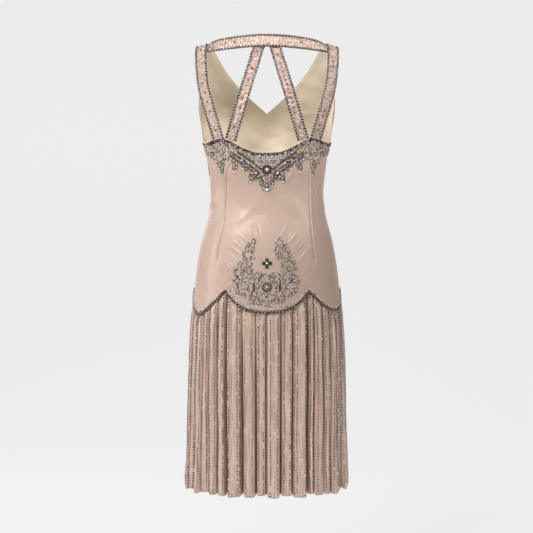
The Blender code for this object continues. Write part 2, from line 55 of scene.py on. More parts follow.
# The hollow form, as in the solids: half width, and depth to the back and to the front, at each height
Section = namedtuple("Section", "height half_width back front")
SECTIONS = table_of(Section, (
    (0.010, 0.200, 0.030, 0.016), (-0.030, 0.200, 0.068, 0.050), (-0.080, 0.198, 0.090, 0.084),
    (-0.140, 0.192, 0.101, 0.110), (-0.200, 0.180, 0.105, 0.127), (-0.250, 0.165, 0.103, 0.131),
    (-0.315, 0.152, 0.094, 0.117), (-0.377, 0.1456, 0.087, 0.101), (-0.440, 0.152, 0.095, 0.098),
    (-0.500, 0.1685, 0.112, 0.102), (-0.565, 0.1805, 0.125, 0.108), (-0.630, 0.188, 0.131, 0.114),
    (-0.690, 0.1945, 0.136, 0.121), (-0.845, 0.203, 0.147, 0.133), (-1.000, 0.208, 0.157, 0.143),
    (-1.144, 0.2135, 0.166, 0.151),
))
ROUNDNESS = 2.25
BACK, FRONT = 1, -1
SEAM_GAP = 0.0003
SIDE_SEAM = 0.75 * SEAM_GAP
SATIN = 0.0009
LINING = 0.0007
STRAP_CLOTH = 0.0016
SKIRT_CLOTH = 0.0009


# Edges of the panels
SHOULDER_HEIGHT = -0.0150
NECK_POINT = -0.1595
NECK_WIDTH = 0.1324
NECK_SLOPE = 0.1112
NECK_FLARE = SHOULDER_HEIGHT - NECK_POINT - NECK_SLOPE
NECK_REACH = 1.05  # the inner end of the shoulder edge runs up a little further, behind the band
UNDERARM = -0.247
LINING_DEPTH = 0.0020
LINING_END = 0.40  # share of the front's length below the bust line
ArmholePoint = namedtuple("ArmholePoint", "height half_width")
FRONT_ARMHOLE = table_of(ArmholePoint, (
    (SHOULDER_HEIGHT, 0.1830), (-0.050, 0.1745), (-0.095, 0.1730), (-0.130, 0.1790), (-0.165, 0.1785),
    (-0.200, 0.1735),
))
EdgePoint = namedtuple("EdgePoint", "angle height")
BACK_EDGE = table_of(EdgePoint, (
    (0, -0.2840), (10, -0.2815), (22, -0.2680), (34, -0.2510), (42, -0.2460), (54, -0.2490), (68, -0.2540),
    (80, -0.2520), (90, UNDERARM),
))
SCALLOP_PEAK = -0.6325
Scallop = namedtuple("Scallop", "start end drop power")
SCALLOPS = table_of(Scallop, (
    (-90, -31, 0.051, 1.8), (-31, 31, 0.054, 2.3), (31, 90, 0.063, 1.4), (90, 149, 0.055, 1.7),
    (149, 211, 0.054, 2.3), (211, 270, 0.055, 1.7),
))


# Skirt
HEM = -1.144
HEM_RISE = 0.008
SKIRT_TUCK = 0.006
SKIRT_INSET = 0.0024
SWELL_LENGTH = 0.03
SEAM_FOLD = 0.0085
FOLD_LENGTH = 0.40
FOLD_DRIFT = 4.4
FOLD_STEPS = 20
SKIRT_LINES = 84
FOLD_FLATNESS = 2.8
DEEPER_FOLDS = 1.18  # of the cloth here over those of the solids
HEM_LIFT, HEM_SET_BACK, HEM_CRUMPLE = 0.009, 1.1, 0.0036
SKIRT_RADIUS = 0.19  # turns angles round the skirt into lengths for noise
# set_back is that of the fold that follows; the smaller the lean, the wider the gap between two folds
Valley = namedtuple("Valley", "angle depth set_back lean")
BACK_VALLEYS = table_of(Valley, (
    (-81, 0.014, 0.003, 0.142), (-73, 0.018, 0.000, 0.142), (-65, 0.016, 0.004, 0.142),
    (-57, 0.020, 0.000, 0.125), (-49, 0.020, 0.003, 0.142), (-40.5, 0.021, 0.000, 0.125),
    (-32, 0.024, 0.006, 0.142), (-26.8, 0.046, 0.000, 0.085), (-15, 0.026, 0.004, 0.142),
    (-7.4, 0.021, 0.000, 0.115), (0.3, 0.022, 0.005, 0.142), (5.6, 0.024, 0.001, 0.118),
    (14.4, 0.030, 0.000, 0.110), (26.8, 0.044, 0.002, 0.105), (34, 0.022, 0.000, 0.142),
    (42, 0.020, 0.003, 0.120), (51, 0.019, 0.000, 0.142), (60, 0.020, 0.003, 0.120), (70, 0.018, 0.000, 0.142),
    (80, 0.014, 0.002, 0.142),
))


# Straps
STRAP_WIDTH = 0.027
STRAP_SPREAD = 1.05  # the beaded cloth is a little wider than the plain strap
STRAP_COLUMNS = 24
CRUSHED_SATIN = 0.0012
RouteKnot = namedtuple("RouteKnot", "side height across out")
FACET_ROOM = 0.0003
OVER_BODICE = SEAM_GAP + STRAP_CLOTH + FACET_ROOM
UNDER_BODICE = -0.0018
UNDER_STRAP = -(STRAP_CLOTH + SEAM_GAP + FACET_ROOM)
SHOULDER_TOP = (0.1690, 0.004, 0.0016)
SHOULDER_SLOPE = 15
SHOULDER_ROUTE_FRONT = table_of(RouteKnot, (
    (FRONT, -0.048, 0.1620, OVER_BODICE), (FRONT, -0.030, 0.1650, OVER_BODICE + 0.0002),
    (FRONT, -0.0120, 0.1675, OVER_BODICE + 0.0012),
))
SHOULDER_ROUTE_BACK = table_of(RouteKnot, (
    (BACK, -0.0125, 0.1695, 0.0010), (BACK, -0.032, 0.1695, 0.0006), (BACK, -0.061, 0.1680, 0.0),
    (BACK, -0.110, 0.1627, -0.0005), (BACK, -0.155, 0.1514, -0.0010), (BACK, -0.203, 0.1376, UNDER_BODICE),
    (BACK, -0.252, 0.1230, UNDER_BODICE),
))
BandKnot = namedtuple("BandKnot", "across upper_depth upper_height lower_depth lower_height")
BAND_KNOTS = table_of(BandKnot, (
    (0.0, 0.0600, 0.0212, 0.0680, -0.0100), (0.030, 0.0588, 0.0206, 0.0671, -0.0106),
    (0.065, 0.0540, 0.0182, 0.0635, -0.0128), (0.100, 0.0445, 0.0143, 0.0570, -0.0156),
    (0.130, 0.0315, 0.0098, 0.0485, -0.0180),
))
BAND_REACH = (-0.004, 0.005)
BAND_UNDER_STRAP = (3.15, 3.75, 4.40)
BAND_BULGE, BAND_END_BULGE = 0.0007, 0.0021
BAND_GATHERED = 0.036  # half the length of the gathers in the band's middle
BAND_BARE = 0.042  # beads on the band start this far from its middle
CROSS_TOP, CROSS_BOTTOM = 0.0205, 0.0930
CROSS_HEIGHTS = (-0.060, -0.100, -0.150, -0.200, -0.252)
CROSS_SHOULDER_BLADE = (-0.032, 0.0735)


# Beadwork, in millimetres, across and up: half of the bust's outline, and all of the hip's
OutlinePoint = namedtuple("OutlinePoint", "across height")
BUST_OUTLINE = table_of(OutlinePoint, (
    (174, -262), (169, -276), (151, -284), (140, -293), (125, -309), (120, -324), (111, -339), (109, -327),
    (108, -302), (102, -298), (92, -302), (89, -319), (82, -335), (76, -318), (70, -309), (65, -317),
    (61, -327), (56, -317), (49, -322), (46, -337), (46, -350), (42, -361), (35, -349), (26, -353), (16, -364),
    (10, -374), (2, -382), (-2, -382), (-2, -240), (174, -240),
))
HIP_OUTLINE = table_of(OutlinePoint, (
    (23, -497), (39, -506), (52, -516), (61, -532), (62, -545), (74, -566), (79, -578), (86, -596), (89, -614),
    (81, -637), (48, -651), (40, -661), (5, -670), (-31, -661), (-53, -651), (-74, -637), (-84, -614),
    (-81, -596), (-76, -575), (-63, -546), (-54, -522), (-43, -509), (-27, -496), (-18, -500), (-25, -518),
    (-19, -532), (-24, -545), (-31, -561), (-36, -579), (-38, -599), (-26, -586), (-13, -585), (3, -589),
    (17, -584), (33, -589), (38, -581), (36, -563), (31, -551), (30, -532), (31, -522), (26, -500),
))
# Leaves of the bust's beadwork in millimetres, with their lean in degrees, and the stones that hang below
Leaf = namedtuple("Leaf", "across height length width lean")
BUST_LEAVES = table_of(Leaf, (
    (37.6, -334, 12.6, 8.7, 70), (40.2, -347, 12.6, 8.0, -40), (21.7, -343, 11.0, 8.0, 60),
    (13.6, -359, 11.0, 7.0, 30), (0.0, -366, 12.0, 8.0, 0), (61.4, -315, 10.0, 7.0, -60),
    (83.4, -318, 14.0, 8.5, 0), (84.0, -303, 10.0, 9.0, 30), (119.8, -311, 16.0, 8.0, 12),
    (114.0, -329, 14.0, 5.5, 14), (52.8, -325, 9.0, 6.0, 40), (140.0, -284, 12.0, 7.0, 30),
))
Stone = namedtuple("Stone", "across height radius")
BUST_STONES = table_of(Stone, (
    (41.7, -357.5, 3.2), (60.6, -324.0, 2.8), (81.9, -332.0, 3.0), (111.5, -336.5, 2.6), (0.0, -377.5, 3.2),
    (27.0, -334.0, 3.0), (64.0, -302.5, 2.8), (46.0, -309.5, 3.0), (99.0, -288.0, 2.8),
))
# Bare satin ribs of the bust's beadwork: how far their edges are below a line that rises from under the jewel
RIBS = ((0.000, 0.0036), (0.0100, 0.0136), (-0.0120, -0.0088))
RIB_START, RIB_END = 0.012, 0.098
RIB_DROP, RIB_SLOPE, RIB_BEND = 0.0215, 0.82, 0.9
BUST_JEWEL, HIP_JEWEL, HIP_FLOWER = -0.326, -0.6226, -0.5628
HIP_LEAF = 0.0325  # distance of the dark leaves beside the hip's jewel
HIP_LEAF_SIZE = (0.0055, 0.010)
# Satin left clear round the jewels, above the seam, below the top edge, and beside ribs and leaves
BUST_CLEAR, HIP_CLEAR, SEAM_CLEAR, EDGE_CLEAR, RIB_CLEAR = 0.0155, 0.0165, 0.009, 0.0115, 0.0012
LEAF_CLEAR = 1.35  # times the leaf's own size


# Photograph: its size in pixels, the metres in a pixel at the dress and at its back, and the camera's place
IMAGE = 533
PIXEL = 0.0026
DISTANCE = 3.2
EYE = -0.5707
MIDDLE_PIXEL = 266.9
BACK_DEPTH = 0.10
BACK_PIXEL = PIXEL * (DISTANCE - BACK_DEPTH) / DISTANCE


# Curves and tables


def smooth(place, places, rows):
    """Smooth curve through a table: places rise, and each row is a value or a point."""
    places, rows = np.asarray(places, float), np.asarray(rows, float)
    place = np.clip(np.asarray(place, float), places[0], places[-1])
    slopes = np.gradient(rows, places, axis=0)
    i = np.clip(np.searchsorted(places, place) - 1, 0, len(places) - 2)
    step = places[i + 1] - places[i]
    t = (place - places[i]) / step
    if rows.ndim > 1:
        t, step = t[..., None], step[..., None]
    stay = (1 + 2 * t) * (1 - t) ** 2
    move = t * t * (3 - 2 * t)
    bend = t * (1 - t)
    turn = (bend * (1 - t) * slopes[i] - bend * t * slopes[i + 1]) * step
    return stay * rows[i] + move * rows[i + 1] + turn


def through(knots, places):
    """Points of a smooth curve through knots: place 1.5 is halfway from the second knot to the third."""
    knots = np.asarray(knots, float)
    along = np.concatenate([[0], np.cumsum(np.linalg.norm(np.diff(knots, axis=0), axis=1))])
    return smooth(np.interp(places, np.arange(len(knots)), along), along, knots)


def column(table, name):
    return np.array([getattr(row, name) for row in table], float)


def unit(vectors):
    return vectors / np.maximum(np.linalg.norm(vectors, axis=-1, keepdims=True), 1e-12)


def ease(value, low, high):
    """0 below low, 1 above high, and smooth between."""
    t = np.clip((value - low) / (high - low), 0, 1)
    return t * t * (3 - 2 * t)


def lattice(x, y, seed):
    """Repeatable random values, 0 to 1, at whole-number places."""
    mixed = (x.astype(np.int64) * 374761393 + y.astype(np.int64) * 668265263 + seed * 1442695041) & 0xFFFFFFFF
    mixed = ((mixed ^ (mixed >> 13)) * 1274126177) & 0xFFFFFFFF
    return ((mixed ^ (mixed >> 16)) & 0xFFFF) / 65535


def noise(x, y, seed):
    """Smooth random relief, -1 to 1, with bumps about one unit apart."""
    x, y = np.broadcast_arrays(np.asarray(x, float), np.asarray(y, float))
    x0, y0 = np.floor(x), np.floor(y)
    u, v = x - x0, y - y0
    u, v = u * u * (3 - 2 * u), v * v * (3 - 2 * v)
    low = lattice(x0, y0, seed) * (1 - u) + lattice(x0 + 1, y0, seed) * u
    high = lattice(x0, y0 + 1, seed) * (1 - u) + lattice(x0 + 1, y0 + 1, seed) * u
    return (low * (1 - v) + high * v) * 2 - 1


# The hollow form


def section(height):
    depth = -column(SECTIONS, "height")
    height = np.asarray(height, float)
    return [smooth(-height, depth, column(SECTIONS, name)) for name in ("half_width", "back", "front")]


def form(angle, height):
    """Points of the form: the angle runs from the middle of the back towards +X, in degrees."""
    angle, height = np.broadcast_arrays(np.radians(angle), np.asarray(height, float))
    half_width, back, front = section(height)
    sine, cosine = np.sin(angle), np.cos(angle)
    power = 2 / ROUNDNESS
    depth = np.where(cosine > 0, back, front)
    across = half_width * np.sign(sine) * np.abs(sine) ** power
    return np.stack([across, depth * np.sign(cosine) * np.abs(cosine) ** power, height], axis=-1)


def off_form(angle, height, out):
    """Points of the form moved out along its normal."""
    turn, drop = 0.2, 0.001
    sideways = form(angle + turn, height) - form(angle - turn, height)
    down = form(angle, np.asarray(height) - drop) - form(angle, np.asarray(height) + drop)
    return form(angle, height) + unit(np.cross(sideways, down)) * np.asarray(out, float)[..., None]


def angle_at(across, height, side=BACK):
    """Angle on the form at this distance from its middle plane, towards +X."""
    share = np.clip(np.abs(across) / section(height)[0], 0, 1) ** (ROUNDNESS / 2)
    angle = np.degrees(np.arcsin(share)) * np.sign(across)
    return angle if side == BACK else 180 - angle


def seam_height(angle):
    """Height of the scalloped hip seam."""
    angle = (np.asarray(angle, float) + 90) % 360 - 90
    height = np.full(angle.shape, SCALLOP_PEAK)
    for scallop in SCALLOPS:
        inside = (angle >= scallop.start) & (angle <= scallop.end)
        share = np.clip((angle - scallop.start) / (scallop.end - scallop.start), 0, 1)
        drop = scallop.drop * (1 - np.abs(2 * share - 1) ** scallop.power)
        height = np.where(inside, SCALLOP_PEAK - drop, height)
    return height


def back_edge(angle):
    return smooth(np.abs(angle), column(BACK_EDGE, "angle"), column(BACK_EDGE, "height"))


def neckline(share):
    return NECK_POINT + NECK_SLOPE * share + NECK_FLARE * share**4


# Meshes


def grid_normals(grid):
    return unit(np.cross(np.gradient(grid, axis=1), np.gradient(grid, axis=0)))


def welded(grid, keep=True):
    """Grid points with coincident ones made one, and the triangles of the cells that are kept."""
    rows, columns = grid.shape[:2]
    keep = np.broadcast_to(keep, (rows - 1, columns - 1))
    flat = grid.reshape(-1, 3)
    _, first, index = np.unique(np.round(flat, 6), axis=0, return_index=True, return_inverse=True)
    index = index.reshape(rows, columns)
    a, b = index[:-1, :-1][keep], index[:-1, 1:][keep]
    c, d = index[1:, 1:][keep], index[1:, :-1][keep]
    triangles = np.concatenate([np.stack([a, b, c], axis=1), np.stack([a, c, d], axis=1)])
    whole = (triangles != np.roll(triangles, 1, axis=1)).all(axis=1)
    return flat[first], triangles[whole]


def thicken(points, triangles, thickness):
    """Closed thin wall behind a surface."""
    corners = points[triangles]
    face = np.cross(corners[:, 1] - corners[:, 0], corners[:, 2] - corners[:, 0])
    normal = np.zeros_like(points)
    for corner in range(3):
        np.add.at(normal, triangles[:, corner], face)
    inner = points - unit(normal) * thickness
    edges = np.concatenate([triangles[:, [0, 1]], triangles[:, [1, 2]], triangles[:, [2, 0]]])
    size = len(points)
    rim = edges[~np.isin(edges @ [size, 1], edges @ [1, size])]
    a, b = rim[:, 0], rim[:, 1]
    sides = np.concatenate([np.stack([b, a, a + size], axis=1), np.stack([b, a + size, b + size], axis=1)])
    return np.concatenate([points, inner]), np.concatenate([triangles, triangles[:, ::-1] + size, sides])


def mesh_object(name, points, faces, materials, slots=0):
    """Smooth object from numpy triangles."""
    mesh = bpy.data.meshes.new(name)
    mesh.vertices.add(len(points))
    mesh.vertices.foreach_set("co", np.asarray(points, np.float32).ravel())
    mesh.loops.add(faces.size)
    mesh.loops.foreach_set("vertex_index", np.asarray(faces, np.int32).ravel())
    mesh.polygons.add(len(faces))
    mesh.polygons.foreach_set("loop_start", np.arange(0, faces.size, 3, dtype=np.int32))
    for material in materials:
        mesh.materials.append(material)
    mesh.polygons.foreach_set("material_index", np.broadcast_to(slots, len(faces)).astype(np.int32))
    mesh.polygons.foreach_set("use_smooth", np.full(len(faces), True))
    mesh.update(calc_edges=True)
    mesh.validate()
    made = bpy.data.objects.new(name, mesh)
    bpy.context.scene.collection.objects.link(made)
    return made


def place(piece, slot, *nodes):
    """Every piece rides on the one body."""
    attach(piece, "root")
    if nodes:
        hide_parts(*nodes)
    return piece


def cloth_piece(name, grid, thickness, material, keep=True):
    return mesh_object(name, *thicken(*welded(grid, keep), thickness), [material])


# Materials


def new_material(name):
    """Material with nodes, and its shader."""
    made = bpy.data.materials.new(name)
    made.use_nodes = True
    return made, made.node_tree.nodes["Principled BSDF"]


def set_inputs(node, values):
    for name, value in values.items():
        node.inputs[name].default_value = value


def noise_on(made, scale, detail):
    """Noise on the object's own coordinates, with a scale for each axis."""
    nodes, links = made.node_tree.nodes, made.node_tree.links
    places, mapping = nodes.new("ShaderNodeTexCoord"), nodes.new("ShaderNodeMapping")
    texture = nodes.new("ShaderNodeTexNoise")
    set_inputs(mapping, {"Scale": scale})
    set_inputs(texture, {"Scale": 1.0, "Detail": detail})
    links.new(places.outputs["Object"], mapping.inputs["Vector"])
    links.new(mapping.outputs["Vector"], texture.inputs["Vector"])
    return texture.outputs["Fac"]


def tint(made, shader, patches, dark, light, edge):
    """Base colour that goes from dark to light with the noise's patches."""
    ramp = made.node_tree.nodes.new("ShaderNodeValToRGB")
    for element, position, colour in zip(ramp.color_ramp.elements, (edge, 1 - edge), (dark, light)):
        element.position, element.color = position, (*colour, 1)
    made.node_tree.links.new(patches, ramp.inputs["Fac"])
    made.node_tree.links.new(ramp.outputs["Color"], shader.inputs["Base Color"])


def cloth(
    name, dark, light, roughness, thread, relief,
    sheen=0.0, metallic=0.0, gloss=0.5, patch=(9, 9, 9), height=0.0004,
):
    """Woven cloth: patches of two colours, and fine threads as bump; patch and thread are noise scales."""
    made, shader = new_material(name)
    tint(made, shader, noise_on(made, patch, 4.0), dark, light, 0.3)
    bump = made.node_tree.nodes.new("ShaderNodeBump")
    set_inputs(bump, {"Strength": relief, "Distance": height})
    made.node_tree.links.new(noise_on(made, thread, 2.0), bump.inputs["Height"])
    made.node_tree.links.new(bump.outputs["Normal"], shader.inputs["Normal"])
    set_inputs(shader, {"Roughness": roughness, "Sheen Weight": sheen, "Sheen Roughness": 0.4})
    set_inputs(shader, {"Specular IOR Level": gloss, "Metallic": metallic})
    return made


def bead_glass(name, colour, metallic, roughness, coat):
    """Beads: a little change of colour from one to the next, and a glossy coat."""
    made, shader = new_material(name)
    dark, light = [value * 0.6 for value in colour], [min(1, value * 1.3) for value in colour]
    tint(made, shader, noise_on(made, (260, 260, 260), 2.0), dark, light, 0.35)
    set_inputs(shader, {"Metallic": metallic, "Roughness": roughness, "Coat Weight": coat, "Coat Roughness": 0.08})
    return made


satin = cloth(
    "satin", (0.55, 0.405, 0.332), (0.61, 0.455, 0.376), 0.47, (900, 900, 250), 0.10, metallic=0.16, gloss=0.32
)
# Dark and light patches of the strap satin's colour: painted shade and painted highlights of its crumples
strap_satin = cloth(
    "strap satin", (0.38, 0.25, 0.195), (0.72, 0.545, 0.455), 0.36, (260, 260, 260), 0.9,
    metallic=0.28, patch=(150, 150, 150), height=0.0018,
)
# Light and dark vertical streaks of the crepe's colour: partly its own uneven tone, partly painted shade and painted
# sheen of its streaky folds
crepe = cloth(
    "crepe", (0.47, 0.335, 0.27), (0.76, 0.57, 0.475), 0.44, (1100, 1100, 120), 0.35,
    metallic=0.14, gloss=0.4, patch=(230, 230, 9),
)
beige = cloth("lining", (0.79, 0.69, 0.515), (0.84, 0.735, 0.56), 0.60, (800, 800, 800), 0.15, sheen=0.10)
piping = cloth("piping", (0.72, 0.58, 0.49), (0.80, 0.66, 0.57), 0.35, (900, 900, 900), 0.10, sheen=0.10)
gunmetal = bead_glass("gunmetal", (0.024, 0.021, 0.018), 0.0, 0.28, 0.2)
silver = bead_glass("silver", (0.66, 0.60, 0.51), 0.60, 0.24, 0.5)
crystal = bead_glass("crystal", (0.88, 0.86, 0.81), 0.10, 0.08, 0.5)
# Dark brown thread of the left dart's stitches: painted shade of the dart's groove
thread = bead_glass("thread", (0.20, 0.125, 0.085), 0.0, 0.6, 0.0)
BEADS = [gunmetal, silver, crystal, thread]
DARK, MID, PALE, DART_SHADE = range(4)


# Creases and darts


CREASE_DEPTH = 1.4  # of every crease of the back, over the depth in its row
Crease = namedtuple("Crease", "x0 z0 x1 z1 width depth bend")


def at_pixel(px, py):
    """Place across and height, in metres, of a point of the back seen at this pixel."""
    return (MIDDLE_PIXEL - px) * BACK_PIXEL, EYE - (py - IMAGE / 2) * BACK_PIXEL


def pixel_line(*pixels):
    return np.array([at_pixel(*pixel) for pixel in pixels])


def crease_relief(across, height, creases):
    """Sum of soft troughs, whose depth is negative, and ridges, along lightly bent lines."""
    relief = np.zeros(np.broadcast(across, height).shape)
    for crease in creases:
        run = np.array([crease.x1 - crease.x0, crease.z1 - crease.z0])
        length = np.hypot(*run)
        run /= length
        x, z = across - crease.x0, height - crease.z0
        t = np.clip((x * run[0] + z * run[1]) / length, 0, 1)
        side = -x * run[1] + z * run[0] - crease.bend * length * 4 * t * (1 - t)
        beyond = x * run[0] + z * run[1] - t * length
        taper = np.sin(np.pi * t) ** 0.7
        relief += crease.depth * taper * np.exp(-((side / crease.width) ** 2) - (beyond / crease.width) ** 2)
    return relief


def pixel_creases(table):
    """Creases from rows of first pixel, last pixel, width and depth in millimetres, and bend."""
    return [
        Crease(*at_pixel(px0, py0), *at_pixel(px1, py1), width / 1000, CREASE_DEPTH * depth / 1000, bend)
        for px0, py0, px1, py1, width, depth, bend in table
    ]


BACK_CREASES = pixel_creases((
    (220, 170, 224, 196, 3.4, -2.0, 0.05), (213, 156, 218, 192, 3.6, -2.2, -0.04),
    (207, 156, 211, 180, 3.2, -1.8, 0.05), (210, 164, 213, 204, 4.0, 1.5, 0.03),
    (226, 166, 231, 157, 3.5, 1.3, 0.10), (227, 172, 229, 160, 3.0, -1.4, 0.12),
    (237, 168, 249, 184, 4.0, -0.8, 0.03), (244, 166, 251, 177, 3.0, -0.7, 0.02),
    (253, 179, 265, 192, 4.0, -0.8, 0.05), (297, 166, 287, 182, 4.5, 1.1, 0.04),
    (293, 171, 284, 184, 4.5, 0.9, 0.02), (301, 172, 310, 190, 3.4, -1.4, 0.04),
    (316, 162, 320, 196, 3.4, -1.5, 0.03), (312, 168, 316, 200, 3.4, -1.2, 0.02),
    (206, 205, 216, 190, 5.0, 1.0, 0.10), (204, 214, 214, 202, 5.0, -0.9, 0.08),
    (206, 224, 217, 213, 5.5, 0.62, 0.05), (326, 205, 317, 192, 5.0, 0.9, -0.06),
    (328, 214, 318, 203, 5.0, -0.8, -0.06), (254, 237, 244, 228, 3.5, 0.7, 0.05),
    (257, 236, 250, 225, 3.0, -0.55, 0.05), (248, 243, 237, 233, 3.5, 0.62, 0.05),
    (243, 250, 233, 241, 4.0, 0.62, 0.04), (238, 258, 228, 250, 4.0, -0.47, 0.04),
    (285, 238, 292, 228, 3.5, -0.7, 0.05), (288, 244, 298, 231, 3.0, 0.78, 0.04),
    (291, 250, 302, 237, 3.5, 0.86, 0.04), (294, 257, 305, 243, 3.0, -0.62, 0.04),
    (296, 263, 308, 248, 3.5, 0.86, 0.05), (298, 270, 309, 255, 3.5, -0.62, 0.05),
    (299, 276, 311, 262, 3.5, 0.7, 0.05), (301, 283, 312, 271, 3.5, 0.62, 0.05),
    (303, 289, 311, 281, 3.0, -0.55, 0.05), (226, 287, 235, 280, 3.0, 0.7, 0.03),
    (228, 291, 237, 284, 3.0, -0.55, 0.03), (223, 283, 230, 276, 3.5, 0.62, 0.03),
    (261, 256, 265, 261, 2.2, -0.47, 0.05), (259, 265, 262, 267, 2.2, -0.39, 0.05),
    (262, 271, 273, 272, 2.4, -0.62, -0.20), (271, 259, 275, 254, 2.4, 0.47, 0.05),
    (277, 244, 279, 262, 5.0, -0.62, 0.05), (255, 246, 256, 262, 5.0, -0.47, 0.05),
    (258, 237, 250, 221, 2.2, 0.62, 0.04), (260, 236, 257, 222, 2.2, -0.47, 0.03),
    (255, 240, 244, 226, 2.0, -0.62, 0.04), (252, 243, 240, 230, 2.2, 0.7, 0.05),
    (245, 252, 234, 238, 2.2, -0.62, 0.04), (242, 256, 231, 247, 2.2, 0.55, 0.04),
    (236, 268, 226, 262, 2.2, 0.55, 0.04), (279, 238, 288, 222, 2.2, 0.62, 0.04),
    (280, 240, 292, 224, 2.0, -0.55, 0.05), (286, 244, 300, 228, 2.2, 0.62, 0.04),
    (292, 254, 307, 238, 2.0, 0.7, 0.05), (294, 260, 309, 244, 2.0, -0.62, 0.05),
    (298, 268, 312, 253, 2.2, 0.7, 0.05), (300, 279, 313, 266, 2.0, -0.55, 0.05),
    (222, 256, 219, 274, 2.6, 0.7, 0.03), (224, 262, 232, 270, 2.2, 0.62, 0.06),
    (219, 266, 226, 276, 2.2, -0.55, 0.06), (314, 262, 316, 274, 2.4, 0.62, 0.05),
    (311, 268, 318, 276, 2.2, -0.55, 0.05), (240, 203, 266, 216, 11.0, -0.7, 0.10),
    (272, 198, 302, 210, 11.0, 0.7, -0.08), (230, 224, 254, 204, 9.0, 0.7, 0.10),
    (300, 224, 282, 212, 10.0, -0.6, 0.08), (232, 190, 250, 222, 12.0, -0.5, 0.06),
    (262, 190, 300, 236, 12.0, -0.7, -0.08), (206, 262, 214, 300, 9.0, 0.9, 0.04),
    (212, 236, 205, 270, 7.0, -0.8, 0.06), (284, 186, 306, 230, 9.0, 0.7, -0.05),
))
FRONT_CREASES = table_of(Crease, (
    (0.030, -0.20, 0.090, -0.235, 0.007, 0.0009, 0.08), (-0.030, -0.20, -0.085, -0.240, 0.007, 0.0009, -0.08),
    (0.120, -0.30, 0.080, -0.350, 0.006, -0.0010, 0.06), (-0.120, -0.30, -0.078, -0.345, 0.006, -0.0009, -0.06),
    (0.130, -0.36, 0.075, -0.385, 0.006, 0.0010, 0.05), (-0.130, -0.37, -0.070, -0.395, 0.006, 0.0010, -0.05),
    (0.100, -0.41, 0.050, -0.425, 0.007, -0.0008, 0.05), (-0.095, -0.42, -0.045, -0.430, 0.007, -0.0008, -0.05),
    (0.060, -0.50, 0.020, -0.570, 0.009, 0.0008, 0.06), (-0.055, -0.49, -0.015, -0.560, 0.009, 0.0008, -0.06),
    (0.120, -0.52, 0.095, -0.610, 0.008, -0.0008, 0.03), (-0.125, -0.53, -0.100, -0.615, 0.008, -0.0008, -0.03),
    (0.003, -0.170, 0.010, -0.205, 0.0025, -0.0004, 0.05),
    (-0.003, -0.170, -0.012, -0.203, 0.0025, -0.0004, -0.05),
    (0.000, -0.168, 0.000, -0.215, 0.0025, -0.0004, 0.02), (0.006, -0.168, 0.026, -0.192, 0.0025, 0.0008, 0.05),
    (-0.006, -0.168, -0.026, -0.192, 0.0025, 0.0008, -0.05),
))
# The side and waist creases of the back are on the front too, turned round
FRONT_FROM_BACK = BACK_CREASES[4:19] + BACK_CREASES[-8:]
FRONT_CREASE_DEPTH, FROM_BACK_DEPTH = 1.7, 1.3  # over the depths in these tables
# Darts of the back from pixels, down from the top; the front's as heights and distances from the middle
LEFT_DART = pixel_line((226.0, 166), (225.6, 190), (224.6, 210), (222.0, 232), (218.3, 249), (216.7, 264))
RIGHT_DART = pixel_line((309.0, 166), (309.0, 190), (309.4, 210), (311.2, 232), (313.4, 249), (315.5, 267))
FRONT_DART = np.array([(-0.235, 0.078), (-0.30, 0.075), (-0.38, 0.068), (-0.46, 0.072), (-0.54, 0.078)])
DART_WIDTH, DART_DEPTH, DART_RIDGE = 0.0021, 0.0025, 0.0022
BODICE_RADIUS = 0.17  # turns angles round the bodice into lengths for noise


def sewn_line(side, fold):
    """Relief across a dart: a narrow groove, with a low ridge as far beside it as fold."""
    ridge = 0.6 * DART_DEPTH * np.exp(-(((side - fold) / DART_RIDGE) ** 2))
    return ridge - DART_DEPTH * np.exp(-((side / DART_WIDTH) ** 2))


def dart_relief(across, height, points, fold):
    """A dart of the back, with small puckers."""
    inside = ease(height, points[-1, 1], points[-1, 1] + 0.02) * ease(-height, -points[0, 1], 0.02 - points[0, 1])
    side = across - smooth(-height, -points[:, 1], points[:, 0])
    pucker = 0.22 * DART_DEPTH * noise(height / 0.006, side / 0.02, 31) * np.exp(-((side / 0.008) ** 2))
    return (sewn_line(side, fold) + pucker) * inside


def seam_puckers(along, from_seam, seed):
    """Short puckers that run into a sewn edge."""
    return 0.00035 * noise(along / 0.0045, from_seam / 0.02, seed) * np.exp(-((from_seam / 0.009) ** 2))


def hung_satin(around, height, seed):
    """Small dents of satin that hangs."""
    fine = 0.00025 * noise(around / 0.014, height / 0.03, seed + 1)
    return 0.0006 * noise(around / 0.035, height / 0.055, seed) + fine


def back_relief(angle, across, height):
    relief = crease_relief(across, height, BACK_CREASES)
    relief += dart_relief(across, height, LEFT_DART, 0.0034) + dart_relief(across, height, RIGHT_DART, -0.003)
    around = np.radians(angle) * BODICE_RADIUS
    relief += hung_satin(around, height, 3)
    relief += seam_puckers(around, height - seam_height(angle), 5)
    relief += seam_puckers(around, back_edge(angle) - height, 6)
    # A soft swelling between the right dart and the side
    between = ease(height, -0.64, -0.50) * ease(-height, 0.27, 0.34)
    relief += 0.0060 * between * np.exp(-np.hypot(across + 0.106, 0.004) / 0.030)
    return relief


def front_relief(angle, height):
    across = form(angle, height)[..., 0]
    relief = FRONT_CREASE_DEPTH * crease_relief(across, height, FRONT_CREASES)
    relief += FROM_BACK_DEPTH * crease_relief(-across, height, FRONT_FROM_BACK)
    # Troughs stay clear of the lining
    relief = np.maximum(relief, -0.0010 - 0.0022 * ease(-height, 0.38, 0.46))
    side = np.abs(across) - smooth(-height, -FRONT_DART[:, 0], FRONT_DART[:, 1])
    relief += ease(height, -0.54, -0.52) * ease(-height, 0.235, 0.255) * sewn_line(side, -0.003)
    around = np.radians(angle) * BODICE_RADIUS
    return relief + hung_satin(around, height, 13) + seam_puckers(around, height - seam_height(angle), 15)


